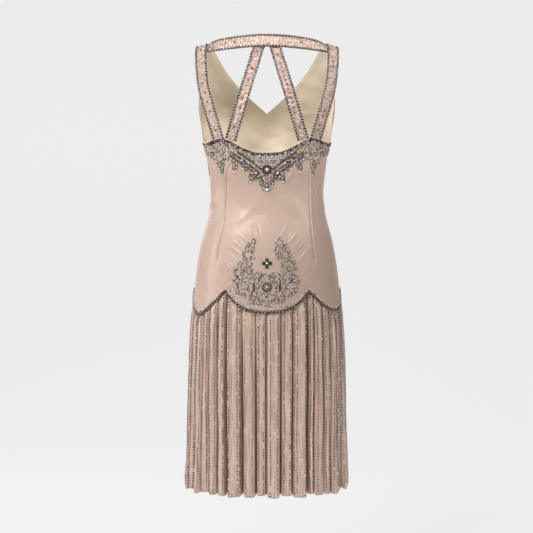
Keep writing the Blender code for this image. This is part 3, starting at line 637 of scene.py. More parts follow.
def lining_relief(angle, height):
    around = np.radians(angle) * BODICE_RADIUS
    across = form(angle, height)[..., 0]
    from_neck = (neckline(np.clip(np.abs(across) / NECK_WIDTH, 0, 1)) - height) * 0.77
    pleats = np.exp(-((across / 0.014) ** 2 + ((height + 0.176) / 0.022) ** 2))
    soft = 0.0014 * noise(around / 0.034, height / 0.016, 23) + 0.0007 * noise(around / 0.012, height / 0.010, 24)
    gathers = 0.0012 * pleats * (noise(around / 0.0042, height / 0.03, 25) - 1)
    return np.minimum(soft + gathers, 0.0004) - 0.0009 * ease(from_neck, 0.0042, 0.0060)


# Bodice


def back_surface(span_columns=(60, 112, 60), rows=206):
    """Fine grid of the back bodice's outer face, with its angles."""
    spans = [np.linspace(s.start, s.end, count)[1:] for s, count in zip(SCALLOPS, span_columns)]
    angle = np.concatenate([[-90], *spans])
    top, bottom = back_edge(angle), seam_height(angle)
    height = top + (bottom - top) * np.linspace(0, 1, rows)[:, None]
    across = form(angle, height)[..., 0]
    grid = off_form(angle[None], height, back_relief(angle[None], across, height))
    grid[..., 1] += SIDE_SEAM
    return grid, angle


def front_surface(columns, upper_rows, lower_rows, inside, relief, bottom_share=1.0):
    """Fine grid of the front, from both halves, and its cells that are cloth."""
    share = np.linspace(NECK_REACH, 0, upper_rows)
    inner_height = neckline(share)
    inner = angle_at(NECK_WIDTH * share, inner_height, FRONT)
    armhole_heights = np.append(column(FRONT_ARMHOLE, "height"), UNDERARM)
    armhole_widths = np.append(column(FRONT_ARMHOLE, "half_width"), section(UNDERARM)[0])
    outer_height = np.linspace(SHOULDER_HEIGHT, UNDERARM, upper_rows)
    outer = angle_at(smooth(-outer_height, -armhole_heights, armhole_widths), outer_height, FRONT)
    outer[-1] = 90
    along = np.linspace(0, 1, columns) ** 1.5
    angle = inner[:, None] + (outer - inner)[:, None] * along
    height = inner_height[:, None] + (outer_height - inner_height)[:, None] * along
    above = np.maximum(inner_height - SHOULDER_HEIGHT, 0)[:, None]
    height = height + above * (along - ease(along, 0.35, 0.85))
    lower_share = np.linspace(0, bottom_share, lower_rows + 1)[1:, None]
    lower_height = height[-1] + (seam_height(angle[-1]) - height[-1]) * lower_share
    angle = np.concatenate([angle, np.repeat(angle[-1:], lower_rows, axis=0)])
    height = np.concatenate([height, lower_height])
    left = off_form(angle, height, inside + relief(angle, height))
    right = off_form(angle, height, inside + relief(360 - angle, height)) * MIRROR
    for half in (left, right):
        half[upper_rows - 1 :, 0, 0] = 0
        half[..., 1] -= SIDE_SEAM
    middle = (left[upper_rows - 1 :, 0] + right[upper_rows - 1 :, 0]) / 2
    left[upper_rows - 1 :, 0] = right[upper_rows - 1 :, 0] = middle
    grid = np.concatenate([left[:, ::-1], right], axis=1)
    keep = np.ones((grid.shape[0] - 1, grid.shape[1] - 1), bool)
    keep[:, columns - 1] = False
    return grid, keep


BACK_GRID, BACK_ANGLES = back_surface()
BACK_NORMALS = grid_normals(BACK_GRID)


def make_bodice():
    piece = place(cloth_piece("satin_back", BACK_GRID, SATIN, satin), "satin", "back_bodice")
    grid, keep = front_surface(64, 70, 90, 0.0, front_relief)
    piece = place(cloth_piece("satin_front", grid, SATIN, satin, keep), "satin", "front_bodice")
    grid, keep = front_surface(44, 54, 40, -LINING_DEPTH, lining_relief, LINING_END)
    piece = place(cloth_piece("lining_front", grid, LINING, beige, keep), "lining", "front_lining")


# Skirt


def valleys_all_round():
    back = [tuple(valley) for valley in BACK_VALLEYS]
    return back + [(row[0] + 180, *row[1:]) for row in back]


def fold_at(valleys, fold, wave):
    """Hem angle, fold depth, crest height and set-back: wave runs from 0 at its first valley to 1 at the next."""
    first, second = valleys[fold], valleys[(fold + 1) % len(valleys)]
    turn = 360 if fold + 1 == len(valleys) else 0
    share = wave - (first if wave < 0.5 else second)[3] * np.sin(2 * np.pi * wave)
    rise = 1 - (1 - (1 - np.cos(2 * np.pi * wave)) / 2) ** FOLD_FLATNESS
    blend = wave * wave * (3 - 2 * wave)
    angle = first[0] + (second[0] + turn - first[0]) * share
    return angle, first[1] + (second[1] - first[1]) * blend, rise, first[2] * rise


def skirt_points(hem_angle, hem_fold, crest, set_back, share, out=0.0):
    """Points of the skirt for columns of folds and shares of its length."""
    angle = hem_angle + FOLD_DRIFT * (1 - share) * np.sin(np.radians(2 * hem_angle))
    top = seam_height(angle) + SKIRT_TUCK
    hem = HEM + HEM_RISE * np.sin(np.radians(hem_angle)) ** 2
    hem = hem + HEM_LIFT * (1 - crest) + HEM_SET_BACK * set_back + HEM_CRUMPLE * noise(hem_angle / 9.0, 0.5, 44)
    height = top + (hem - top) * share
    below = np.clip((seam_height(angle) - height) / FOLD_LENGTH, 0, 1)
    opened = below * (2 - below)
    fold = SEAM_FOLD + (DEEPER_FOLDS * hem_fold - SEAM_FOLD) * opened
    swell = np.clip((seam_height(angle) - height) / SWELL_LENGTH, 0, 1)
    around = np.radians(angle) * SKIRT_RADIUS
    ripple = 0.0027 * noise(around / 0.0070, height / 0.15, 41) + 0.0018 * noise(around / 0.0032, height / 0.20, 42)
    ripple = ripple + 0.0012 * noise(around / 0.009, height / 0.02, 45) * ease(-height, 1.06, 1.13)
    sway = 0.0016 * noise(around / 0.03, height / 0.11, 43) * ease(-height, 0.75, 1.0)
    inward = -SKIRT_INSET * (1 - swell) - fold * (1 - crest) - set_back * opened
    return off_form(angle, height, inward + (ripple + sway) * swell + out)


def make_skirt():
    valleys = valleys_all_round()
    waves = np.arange(FOLD_STEPS) / FOLD_STEPS
    columns = np.array([fold_at(valleys, fold, wave) for fold in range(len(valleys)) for wave in waves])
    wrapped = np.concatenate([columns - [360, 0, 0, 0], columns])
    share = np.linspace(0, 1, SKIRT_LINES)[:, None] ** 1.15
    for half, start, side in (("back", -90, BACK), ("front", 90, FRONT)):
        end = start + 180
        edge = np.stack([np.interp([start, end], wrapped[:, 0], wrapped[:, k]) for k in range(4)], axis=1)
        inside = (wrapped[:, 0] > start + 0.3) & (wrapped[:, 0] < end - 0.3)
        grid = skirt_points(*np.concatenate([edge[:1], wrapped[inside], edge[1:]]).T, share)
        grid[..., 1] += SIDE_SEAM * side
        piece = place(cloth_piece("crepe_" + half, grid, SKIRT_CLOTH, crepe), "skirt_cloth", half + "_skirt")


# Straps


def on_route(knots, width):
    plan = np.array([(knot.across, knot.height) for knot in knots])
    along = np.gradient(plan, axis=0)
    along /= np.linalg.norm(along, axis=1, keepdims=True)
    side = knots[0].side
    perpendicular = np.stack([-along[:, 1], along[:, 0]], axis=1) * side
    out = column(knots, "out")
    lines = []
    for share in (-0.5, 0, 0.5):
        spot = plan + perpendicular * share * width
        lines.append(off_form(angle_at(spot[:, 0], spot[:, 1], side), spot[:, 1], out))
    return np.stack(lines, axis=1)


def shoulder_knots():
    slope = np.radians(SHOULDER_SLOPE)
    outward = np.array([np.cos(slope), 0, -np.sin(slope)]) * STRAP_WIDTH / 2
    top = np.array([[np.array(SHOULDER_TOP) + outward * share for share in (-1, 0, 1)]])
    front = on_route(SHOULDER_ROUTE_FRONT, STRAP_WIDTH)
    back = on_route(SHOULDER_ROUTE_BACK, STRAP_WIDTH)
    return np.concatenate([front, top, back])


def strap_frame(knots, spot):
    step = 0.1
    edge, middle = through(knots[:, 0], [spot])[0], through(knots[:, 1], [spot])[0]
    ahead = through(knots[:, 1], [spot + step])[0] - through(knots[:, 1], [spot - step])[0]
    across = (middle - edge) / np.linalg.norm(middle - edge)
    normal = np.cross(across, ahead)
    return edge, across, normal / np.linalg.norm(normal)


def band_knots():
    strap = shoulder_knots()
    ends = []
    for reach in BAND_REACH:
        end = []
        for spot in BAND_UNDER_STRAP:
            edge, across, normal = strap_frame(strap, spot)
            end.append(edge + across * reach + normal * (UNDER_STRAP - FACET_ROOM))
        ends.append(end)
    rows = []
    for knot in BAND_KNOTS:
        upper = np.array([knot.across, knot.upper_depth, knot.upper_height])
        lower = np.array([knot.across, knot.lower_depth, knot.lower_height])
        bulge = BAND_BULGE + BAND_END_BULGE * (knot.across / NECK_WIDTH) ** 2
        rows.append([upper, (upper + lower) / 2 + np.array([0, bulge, bulge]), lower])
    left = np.array(rows + ends)
    return np.concatenate([left[:0:-1] * MIRROR, left])


def crossing_knots():
    band = band_knots()
    middle = len(band) // 2
    slope = (CROSS_BOTTOM - CROSS_TOP) / (CROSS_HEIGHTS[-1] - BAND_KNOTS[0].lower_height)

    def across(height):
        return CROSS_TOP + slope * (height - BAND_KNOTS[0].lower_height)

    first = []
    for row in (1, 2):
        points = []
        for share in (-1, 0, 1):
            spot = middle + (across(band[middle, row, 2]) + share * STRAP_WIDTH / 2) / BAND_KNOTS[1].across
            point = through(band[:, row], [spot])[0]
            points.append(point + np.array([0, 1, 0.25]) * (UNDER_STRAP - FACET_ROOM))
        first.append(points)
    height, depth = CROSS_SHOULDER_BLADE
    first.append([[across(height) + share * STRAP_WIDTH / 2, depth, height] for share in (-1, 0, 1)])
    route = [RouteKnot(BACK, height, across(height), UNDER_BODICE) for height in CROSS_HEIGHTS]
    return np.concatenate([np.array(first), on_route(route, STRAP_WIDTH)])


def ribbon(knots, rows, seed, crumple, out, gathered):
    """Fine grid of a strap, with its crumpled satin.

    crumple takes the length along the strap and gives how crumpled it is there, 0 to 1. out is the side of
    the grid that shows, and gathered is half the length in its middle that has folds across it."""
    lines = np.stack([through(knots[:, k], np.linspace(0, len(knots) - 1, rows)) for k in range(3)], axis=1)
    v = np.linspace(-STRAP_SPREAD, STRAP_SPREAD, STRAP_COLUMNS)
    weights = np.stack([v * (v - 1) / 2, 1 - v * v, v * (v + 1) / 2])
    grid = np.einsum("rkx,kc->rcx", lines, weights)
    step = np.linalg.norm(np.diff(lines[:, 1], axis=0), axis=1)
    along = np.concatenate([[0], np.cumsum(step)])[:, None]
    width = v[None] * STRAP_WIDTH / 2
    amount = crumple(along)
    body = np.clip(1 - np.abs(v[None] / STRAP_SPREAD) ** 6, 0, 1)
    crushed = 0.0015 * noise(width / 0.0056 + 7, along / 0.0046, seed)
    crushed = crushed + 0.0010 * noise(width / 0.0028, along / 0.0024, seed + 1)
    pleated = 0.0008 * noise(width / 0.0042, along / 0.026, seed + 2)
    puckers = 0.0011 * noise(along / 0.0042, width / 0.03, seed + 3) + 0.0006
    from_middle = np.abs(along - along[-1] / 2)
    inside = 1 - ease(from_middle, gathered - 0.002, gathered + 0.001) if gathered else 0.0
    relief = (crushed * amount + pleated * (1 - amount)) * (1 - inside) + puckers * inside
    relief = (relief + 0.0004 * (1 - v[None] ** 2)) * body
    return grid + out * grid_normals(grid) * relief[..., None]


def shoulder_crumple(along):
    return 0.35 + 0.65 * ease(along, 0.085, 0.10) * (1 - ease(along, 0.17, 0.24))


def crossing_crumple(along):
    return 1.0 - 0.8 * ease(along, 0.13, 0.20)


def band_crumple(along):
    """Crushed near the shoulders, smoother towards the middle."""
    return 0.55 + 0.4 * np.abs(along - 0.18) / 0.18


def make_straps():
    """Strap cloth, and for each strap the grid and the normals that its beads are sewn on."""
    sewn_on = {}
    for node, knots, rows, seed, crumple, length in (
        ("left_shoulder_strap", shoulder_knots(), 300, 51, shoulder_crumple, 0.36),
        ("right_shoulder_strap", shoulder_knots(), 300, 61, shoulder_crumple, 0.36),
        ("left_back_strap", crossing_knots(), 240, 71, crossing_crumple, 0.27),
        ("right_back_strap", crossing_knots(), 240, 81, crossing_crumple, 0.27),
        ("neck_band", band_knots(), 320, 91, band_crumple, 0.36),
    ):
        is_band = node == "neck_band"
        out = -1 if is_band else 1
        grid = ribbon(knots, rows, seed, crumple, out, BAND_GATHERED if is_band else 0)
        if node.startswith("right"):
            grid = grid[:, ::-1] * MIRROR
        cloth_grid = np.swapaxes(grid, 0, 1) if is_band else grid
        piece = place(cloth_piece("satin_" + node, cloth_grid, CRUSHED_SATIN, strap_satin), "satin", node)
        sewn_on[node] = grid, grid_normals(grid) * out
    return sewn_on


# Beads


Template = namedtuple("Template", "points faces")


def seed_bead():
    """Twenty-faced bead of unit radius, a little flat."""
    golden = (1 + 5**0.5) / 2
    points = []
    for a in (-1, 1):
        for b in (-golden, golden):
            points += [(0, a, b), (a, b, 0), (b, 0, a)]
    points = unit(np.array(points, float))
    faces = []
    for i, j, k in combinations(range(12), 3):
        trio = points[[i, j, k]]
        if np.linalg.norm(trio - np.roll(trio, 1, axis=0), axis=1).max() < 1.1:
            is_outward = np.dot(np.cross(trio[1] - trio[0], trio[2] - trio[0]), trio.sum(0)) > 0
            faces.append((i, j, k) if is_outward else (i, k, j))
    return Template(points * np.array([0.85, 1, 1]), np.array(faces))


def turned(profile, sides, poles=None, axis_x=False):
    """Closed solid of revolution: profile rows are (radius, height), and poles are the heights of its ends."""
    turn = np.arange(sides) * 2 * np.pi / sides
    rings = [np.stack([r * np.cos(turn), r * np.sin(turn), np.full(sides, h)], axis=1) for r, h in profile]
    low, high = poles or (profile[0][1], profile[-1][1])
    points = np.concatenate([*rings, [[0, 0, low], [0, 0, high]]])
    here, after = np.arange(sides), (np.arange(sides) + 1) % sides
    last, end = (len(profile) - 1) * sides, len(profile) * sides
    faces = [np.stack([after, here, np.full(sides, end)], axis=1)]
    for a in range(0, last, sides):
        b = a + sides
        faces.append(np.stack([here + a, after + a, after + b], axis=1))
        faces.append(np.stack([here + a, after + b, here + b], axis=1))
    faces.append(np.stack([here + last, after + last, np.full(sides, end + 1)], axis=1))
    return Template(points[:, [2, 0, 1]] if axis_x else points, np.concatenate(faces))


SEED = seed_bead()
GRAIN = turned(((1.0, 0.0),), 6, poles=(-1, 1), axis_x=True)
BUGLE = turned(((0.75, -1.0), (1.0, -0.8), (1.0, 0.8), (0.75, 1.0)), 6, axis_x=True)
STONE = turned(((0.80, 0.0), (1.0, 0.25), (0.72, 0.62), (0.40, 0.80)), 8)
SEQUIN = turned(((1.0, 0.0), (1.0, 0.10), (0.45, 0.22)), 8)


class BeadBox:
    """Collects beads, and makes them one mesh."""

    def __init__(self):
        self.points, self.faces, self.slots, self.count = [], [], [], 0

    def sew(self, template, line, lift, scale, slot):
        """Sews beads on a line, which is their spots and their ways out and along, moved out by lift.

        scale is one size, one for each of along, across and out, or a row for each bead."""
        spots, out, along = line
        number, size = len(spots), len(template.points)
        out = unit(out)
        along = unit(along - out * (along * out).sum(-1, keepdims=True))
        axes = np.stack([along, np.cross(out, along), out], axis=-1)
        local = template.points * np.broadcast_to(scale, (number, 3))[:, None]
        world = np.einsum("nij,npj->npi", axes, local) + (spots + out * np.reshape(lift, (-1, 1)))[:, None]
        self.points.append(world.reshape(-1, 3))
        starts = self.count + np.arange(number)[:, None, None] * size
        self.faces.append((template.faces + starts).reshape(-1, 3))
        self.slots.append(np.repeat(np.broadcast_to(slot, number), len(template.faces)))
        self.count += number * size

    def make(self, name, *nodes, slot="beads"):
        points, faces = np.concatenate(self.points), np.concatenate(self.faces)
        return place(mesh_object(name, points, faces, BEADS, np.concatenate(self.slots)), slot, *nodes)


def strung(points, normals, pitch, start=0.0):
    """Line of spots at even distances along points, with their ways out and along."""
    length = np.concatenate([[0], np.cumsum(np.linalg.norm(np.diff(points, axis=0), axis=1))])
    places = np.arange(start, length[-1], pitch)
    spots, out, along = (
        np.stack([np.interp(places, length, values[:, k]) for k in range(3)], axis=1)
        for values in (points, normals, np.gradient(points, axis=0))
    )
    return spots, unit(out), unit(along)


def only(line, kept):
    """The line with only some of its spots."""
    return tuple(part[kept] for part in line)


def draws(line, row, seed):
    """Repeatable random values, 0 to 1, for the beads of a line."""
    count = len(line[0])
    return lattice(np.arange(count), np.full(count, row), seed)


def pick(line, seed, shares):
    """For each bead of a line a slot, by chance: shares are those of dark, mid and pale."""
    return np.searchsorted(np.cumsum(shares)[:-1], draws(line, 5, seed))


def grid_line(grid, normals, share):
    """Points and normals along a grid's rows at a share of its width."""
    spot = share * (grid.shape[1] - 1)
    low = min(int(spot), grid.shape[1] - 2)
    t = spot - low
    points, out = (values[:, low] * (1 - t) + values[:, low + 1] * t for values in (grid, normals))
    return points, unit(out)


def on_back(across, height):
    """Places and normals on the creased back bodice."""
    angle = angle_at(across, height)
    top, bottom = back_edge(angle), seam_height(angle)
    row = np.clip((top - height) / (top - bottom), 0, 1) * (BACK_GRID.shape[0] - 1)
    col = np.interp(angle, BACK_ANGLES, np.arange(len(BACK_ANGLES)))
    r, c = (np.minimum(spot.astype(int), size - 2) for spot, size in zip((row, col), BACK_GRID.shape))
    s, t = (row - r)[:, None], (col - c)[:, None]
    mixed = []
    for values in (BACK_GRID, BACK_NORMALS):
        upper = values[r, c] * (1 - t) + values[r, c + 1] * t
        lower = values[r + 1, c] * (1 - t) + values[r + 1, c + 1] * t
        mixed.append(upper * (1 - s) + lower * s)
    return mixed[0], unit(mixed[1])


def string_on(box, across, height, pitch, radius, seed, shares):
    """A string of small beads along a drawn line on the back panel."""
    line = strung(*on_back(across, height), pitch, pitch / 2)
    sizes = radius * (0.9 + 0.25 * draws(line, 0, seed))
    box.sew(SEED, line, radius * 0.6, sizes[:, None], pick(line, seed, shares))


def scatter_beads(box, spots, radius, seed, shares, lift=0.6):
    """Small beads at spots on the back panel."""
    line = *on_back(*spots.T), ACROSS
    sizes = radius * (0.85 + 0.3 * draws(line, 1, seed))
    box.sew(SEED, line, radius * lift, sizes[:, None], pick(line, seed, shares))


def stone_on(box, across, height, radius, lift):
    box.sew(STONE, (*on_back(np.array([across]), np.array([height])), ACROSS), lift, radius, PALE)


# Rings of beads round a jewel
Ring = namedtuple("Ring", "radius count length width slot lift")
BUST_RINGS = table_of(Ring, (
    (0.0105, 14, 0.0038, 0.0020, DARK, 0.0012), (0.0072, 14, 0.0018, 0.0015, DARK, 0.0024),
    (0.0122, 14, 0.0011, 0.0011, PALE, 0.0012),
))
HIP_RINGS = table_of(Ring, (
    (0.0106, 13, 0.0042, 0.0019, DARK, 0.0012), (0.0122, 13, 0.0010, 0.0010, PALE, 0.0014),
    (0.0066, 11, 0.0014, 0.0014, MID, 0.0026), (0.0046, 9, 0.0013, 0.0013, DARK, 0.0032),
))


def rings_on(box, height, rings):
    for ring in rings:
        turn = np.arange(ring.count) * 2 * np.pi / ring.count
        sine, cosine = np.sin(turn), np.cos(turn)
        away = np.stack([sine, np.zeros(ring.count), cosine], axis=1)
        line = *on_back(ring.radius * sine, height + ring.radius * cosine), away
        box.sew(SEED, line, ring.lift, (ring.length, ring.width, ring.width * 0.8), ring.slot)


# Beadwork of the bust and the hip


def leaf_shares(across, height, leaf, side):
    """How far places are from a leaf's middle, 1 at its edge."""
    x, z = across - leaf.across * side / 1000, height - leaf.height / 1000
    lean = np.radians(leaf.lean * side)
    x, z = x * np.cos(lean) + z * np.sin(lean), -x * np.sin(lean) + z * np.cos(lean)
    return np.hypot(x / (leaf.width / 2000), z / (leaf.length / 2000))


def leaf_on(box, leaf, side, seed):
    """A leaf outlined in dark beads, with pale ones inside."""
    turn = np.linspace(0, 2 * np.pi, 33)
    cosine, sine = np.cos(np.radians(leaf.lean * side)), np.sin(np.radians(leaf.lean * side))
    x = leaf.width / 2000 * np.sin(turn) * (1 + 0.2 * np.cos(turn))
    z = -leaf.length / 2000 * np.cos(turn)
    across, height = leaf.across * side / 1000, leaf.height / 1000
    line = across + x * cosine - z * sine, height + x * sine + z * cosine
    string_on(box, *line, 0.0023, 0.00135, seed, (0.86, 0.10, 0.04))
    spot = np.linspace(-0.24, 0.24, 2 if leaf.length < 11 else 3) * leaf.length / 1000
    spots = np.stack([across - spot * sine, height + spot * cosine], axis=1)
    scatter_beads(box, spots, 0.0017, seed + 1, (0.0, 0.25, 0.75))


def thinned(spots, pitch):
    """Spots picked in order so that no two are nearer than a pitch."""
    kept, cells = [], {}
    for x, z in spots:
        i, j = int(x // pitch), int(z // pitch)
        near = [spot for k in (-1, 0, 1) for m in (-1, 0, 1) for spot in cells.get((i + k, j + m), ())]
        if all((x - a) ** 2 + (z - b) ** 2 >= pitch * pitch for a, b in near):
            cells.setdefault((i, j), []).append((x, z))
            kept.append((x, z))
    return np.array(kept)


# Small leaves that fill a field: size, stretch and lean of their noise, and the level of their outlines
Field = namedtuple("Field", "size stretch lean level seed line_shares within_shares")
BUST_FIELD = Field(0.0041, 1.3, 0.6, -0.12, 101, (0.68, 0.16, 0.16), (0.0, 0.25, 0.75))
HIP_FIELD = Field(0.0047, 1.5, 0.35, -0.05, 201, (0.76, 0.09, 0.15), (0.0, 0.15, 0.85))


def marbled(box, inside, low, high, field):
    """Small irregular leaves that fill a region, alike on both sides: dark outlines with paler beads within."""
    step, seed = 0.0004, field.seed
    wander, wander_size = 0.0022, 0.011
    x, z = np.meshgrid(np.arange(low[0], high[0], step), np.arange(low[1], high[1], step))
    sine, cosine = np.sin(field.lean), np.cos(field.lean)
    u = np.abs(x) * cosine + z * sine + wander * noise(x / wander_size, z / wander_size, seed + 7)
    w = z * cosine - np.abs(x) * sine + wander * noise(x / wander_size, z / wander_size, seed + 8)
    level = noise(u / field.size, w / (field.size * field.stretch), seed)
    level += 0.4 * noise(u / (field.size * 0.55), w / (field.size * 0.7), seed + 1)
    soft = inside(x.ravel(), z.ravel()).reshape(x.shape).astype(float)
    for axis in (0, 1):
        soft = sum(np.roll(soft, shift, axis) for shift in range(-5, 6)) / 11
    level = level - field.level - 1.3 * (1 - soft) - (soft < 0.05)
    slope = np.hypot(*np.gradient(level, step))
    for spots, pitch, radius, shares in (
        (np.abs(level) < slope * step * 0.6, 0.0021, 0.00130, field.line_shares),
        (level > slope * 0.0022, 0.0043, 0.00165, field.within_shares),
    ):
        picked = thinned(np.stack([x[spots], z[spots]], axis=1), pitch)
        scatter_beads(box, picked, radius, seed + 5, shares, 0.7)


def in_outline(across, height, outline):
    """Whether places are inside a closed line of points."""
    x, z = column(outline, "across") / 1000, column(outline, "height") / 1000
    inside = np.zeros(np.shape(across), bool)
    for k in range(len(x)):
        if z[k - 1] != z[k]:
            crossed = (z[k - 1] > height) != (z[k] > height)
            inside ^= crossed & (across < (x[k] - x[k - 1]) * (height - z[k - 1]) / (z[k] - z[k - 1]) + x[k - 1])
    return inside


def rib_height(across, below):
    """Height of the line that the ribs follow, or of one as far below it."""
    x = np.abs(across)
    return BUST_JEWEL - RIB_DROP - below + RIB_SLOPE * x - RIB_BEND * x * x


def in_bust(across, height):
    free = np.hypot(across, height - BUST_JEWEL) > BUST_CLEAR
    for leaf in BUST_LEAVES:
        for side in (1, -1):
            free &= leaf_shares(across, height, leaf, side) > LEAF_CLEAR
    for upper, lower in RIBS:
        above, beneath = rib_height(across, upper), rib_height(across, lower)
        on_rib = (height < above + RIB_CLEAR) & (height > beneath - RIB_CLEAR)
        free &= ~(on_rib & (np.abs(across) > RIB_START) & (np.abs(across) < RIB_END))
    below_edge = height < back_edge(angle_at(across, height)) - EDGE_CLEAR
    return in_outline(np.abs(across), height, BUST_OUTLINE) & free & below_edge


def in_hip(across, height):
    jewel = np.hypot(across, height - HIP_JEWEL) < HIP_CLEAR
    width, length = HIP_LEAF_SIZE
    leaf = np.hypot((np.abs(across) - HIP_LEAF) / width, (height - HIP_JEWEL) / length) < 1
    above_seam = height > seam_height(angle_at(across, height)) + SEAM_CLEAR
    return in_outline(across, height, HIP_OUTLINE) & above_seam & ~jewel & ~leaf


def make_bust_beadwork():
    box = BeadBox()
    marbled(box, in_bust, (-0.18, -0.385), (0.18, -0.245), BUST_FIELD)
    for index, leaf in enumerate(BUST_LEAVES):
        for side in (1, -1) if leaf.across else (1,):
            leaf_on(box, leaf, side, 110 + index * 4 + side)
    for stone in BUST_STONES:
        for side in (1, -1) if stone.across else (1,):
            stone_on(box, stone.across * side / 1000, stone.height / 1000, stone.radius / 1000, 0.0008)
    for rib, edges in enumerate(RIBS):
        for side in (1, -1):
            for below in edges:
                x = np.linspace(0.014, 0.094 if rib < 2 else 0.075, 40)
                z = rib_height(x, below)
                clear = (z > -0.375) & (z < back_edge(angle_at(x, z)) - 0.008)
                mix = (0.84, 0.10, 0.06)
                string_on(box, x[clear] * side, z[clear], 0.0022, 0.00125, 150 + rib * 9 + side, mix)
    rings_on(box, BUST_JEWEL, BUST_RINGS)
    stone_on(box, 0, BUST_JEWEL, 0.0034, 0.0022)
    box.make("beads_bust", "bust_beadwork", "bust_jewel")


def make_hip_beadwork():
    box = BeadBox()
    marbled(box, in_hip, (-0.09, -0.685), (0.09, -0.49), HIP_FIELD)
    for side in (1, -1):
        for row, half_width in enumerate((0.0, 0.0012, 0.0019, 0.0022, 0.0022, 0.0019, 0.0012, 0.0)):
            x, z = HIP_LEAF * side, HIP_JEWEL + (row - 3.5) * 0.0021
            spots = np.array([[x - half_width, z], [x + half_width, z]])
            scatter_beads(box, spots, 0.0017, 230 + row, (1, 0, 0))
    # Clear stones strewn between the pattern and the seam
    x, z = (value.ravel() for value in np.meshgrid(np.arange(-0.094, 0.095, 0.0085), np.arange(-0.69, -0.60, 0.0065)))
    x = x + 0.005 * (lattice(np.round(x * 1e4), np.round(z * 1e4), 241) - 0.5)
    z = z + 0.005 * (lattice(np.round(x * 1e4), np.round(z * 1e4), 242) - 0.5)
    from_seam = z - seam_height(angle_at(x, z))
    bare = (from_seam > 0.010) & (from_seam < 0.030) & ~in_outline(x, z, HIP_OUTLINE)
    bare &= lattice(np.round(x * 1e4), np.round(z * 1e4), 243) > 0.25
    scatter_beads(box, np.stack([x[bare], z[bare]], axis=1), 0.0018, 244, (0.12, 0.38, 0.50))
    rings_on(box, HIP_JEWEL, HIP_RINGS)
    stone_on(box, 0, HIP_JEWEL, 0.0031, 0.0024)
    box.make("beads_hip", "hip_beadwork", "hip_jewel")


def make_hip_flower():
    """Two dark bugles on each of four arms, round a stone."""
    box = BeadBox()
    reach, spread = 0.0080, 0.0021
    for turn in np.radians((0, 90, 180, 270)):
        sine, cosine = np.sin(turn), np.cos(turn)
        for offset in (-spread, spread):
            x, z = reach * sine + offset * cosine, reach * cosine - offset * sine
            line = *on_back(np.array([x]), np.array([HIP_FLOWER + z])), np.array([sine, 0, cosine])
            box.sew(BUGLE, line, 0.0016, (0.0046, 0.0018, 0.0017), DARK)
    stone_on(box, 0, HIP_FLOWER, 0.0034, 0.0014)
    box.make("beads_hip_flower", "hip_flower")


# Edges, seams and straps


def make_dart_shade():
    """Close dark stitches in the groove of the back's left dart: painted shade of the groove, made as a row of
    thread.
    """
    height = np.linspace(LEFT_DART[0, 1] - 0.010, LEFT_DART[-1, 1] + 0.012, 240)
    line = strung(*on_back(smooth(-height, -LEFT_DART[:, 1], LEFT_DART[:, 0]), height), 0.0030)
    box = BeadBox()
    box.sew(GRAIN, line, 0.0001, (0.0014, 0.0005, 0.0004), DART_SHADE)
    box.make("stitches_left_dart", slot="satin")


def make_back_edge_beads():
    """Dark beads massed along the back's top edge, with two rows of stones below its middle."""
    box = BeadBox()
    angles = np.linspace(-89, 89, 500)
    for row, (drop, shares) in enumerate(
        ((0.0022, (0.95, 0.03, 0.02)), (0.0050, (0.70, 0.15, 0.15)), (0.0080, (0.55, 0.2, 0.25)))
    ):
        height = back_edge(angles) - drop
        line = strung(*on_back(form(angles, height)[:, 0], height), 0.0039, 0.0019 * (row % 2))
        spots, out, along = line
        jitter = (draws(line, row, 301) - 0.5) * 0.0010
        sizes = 0.0020 * (0.85 + 0.35 * draws(line, row, 302))
        line = spots + unit(np.cross(out, along)) * jitter[:, None], out, along
        box.sew(SEED, line, 0.0009 + np.abs(jitter), sizes[:, None], pick(line, 303 + row, shares))
    for drop, reach in ((0.0115, 0.046), (0.0170, 0.034)):
        across = np.arange(-reach, reach, 0.0057)
        height = back_edge(angle_at(across, np.full(across.shape, -0.29))) - drop
        box.sew(STONE, (*on_back(across, height), ACROSS), 0.0006, 0.0021, PALE)
    box.make("beads_top_edge")


def make_piping():
    """Thin rolled edge of pale satin along the back's top edge."""
    angles = np.linspace(-89.6, 89.6, 260)
    height = back_edge(angles)
    points, normals = on_back(form(angles, height)[:, 0], height)
    points = points - normals * SATIN / 2 + np.array([0, 0, 0.0003])
    up = unit(np.cross(unit(np.gradient(points, axis=0)), normals))
    turn = np.linspace(0, 2 * np.pi, 7)[None, :, None]
    ring = normals[:, None] * np.cos(turn) + up[:, None] * np.sin(turn)
    grid = points[:, None] + ring * 0.0009
    face = np.cross(grid[1, 0] - grid[0, 0], grid[0, 1] - grid[0, 0])
    grid = grid[:, ::-1] if np.dot(face, ring[0, 0]) > 0 else grid
    place(mesh_object("satin_piping", *welded(grid), [piping]), "satin")


def make_seam_beads():
    """Dark bugles end to end on the scalloped seam, and two rows of paler beads above it."""
    box = BeadBox()
    angles = np.linspace(-90, 270, 2400)
    height = seam_height(angles) + 0.0010
    base = off_form(angles, height, 0.0004)
    normals = unit(off_form(angles, height, 0.01) - base)
    bugle_pitch = 0.0086
    box.sew(BUGLE, strung(base, normals, bugle_pitch), 0.0012, (0.0033, 0.0026, 0.0021), DARK)
    line = strung(base, normals, bugle_pitch, 0.0045)
    box.sew(SEED, line, 0.0014, 0.0017, pick(line, 331, (0.1, 0.4, 0.5)))
    for pitch, rise, radius, shares in (
        (0.0082, 0.0074, 0.0023, (0.05, 0.20, 0.75)),
        (0.0043, 0.0042, 0.00115, (0.30, 0.30, 0.40)),
    ):
        line = strung(off_form(angles, height + rise, 0.0006), normals, pitch, pitch / 2)
        box.sew(SEED, line, radius * 0.6, radius, pick(line, 341, shares))
    box.make("beads_hip_seam")


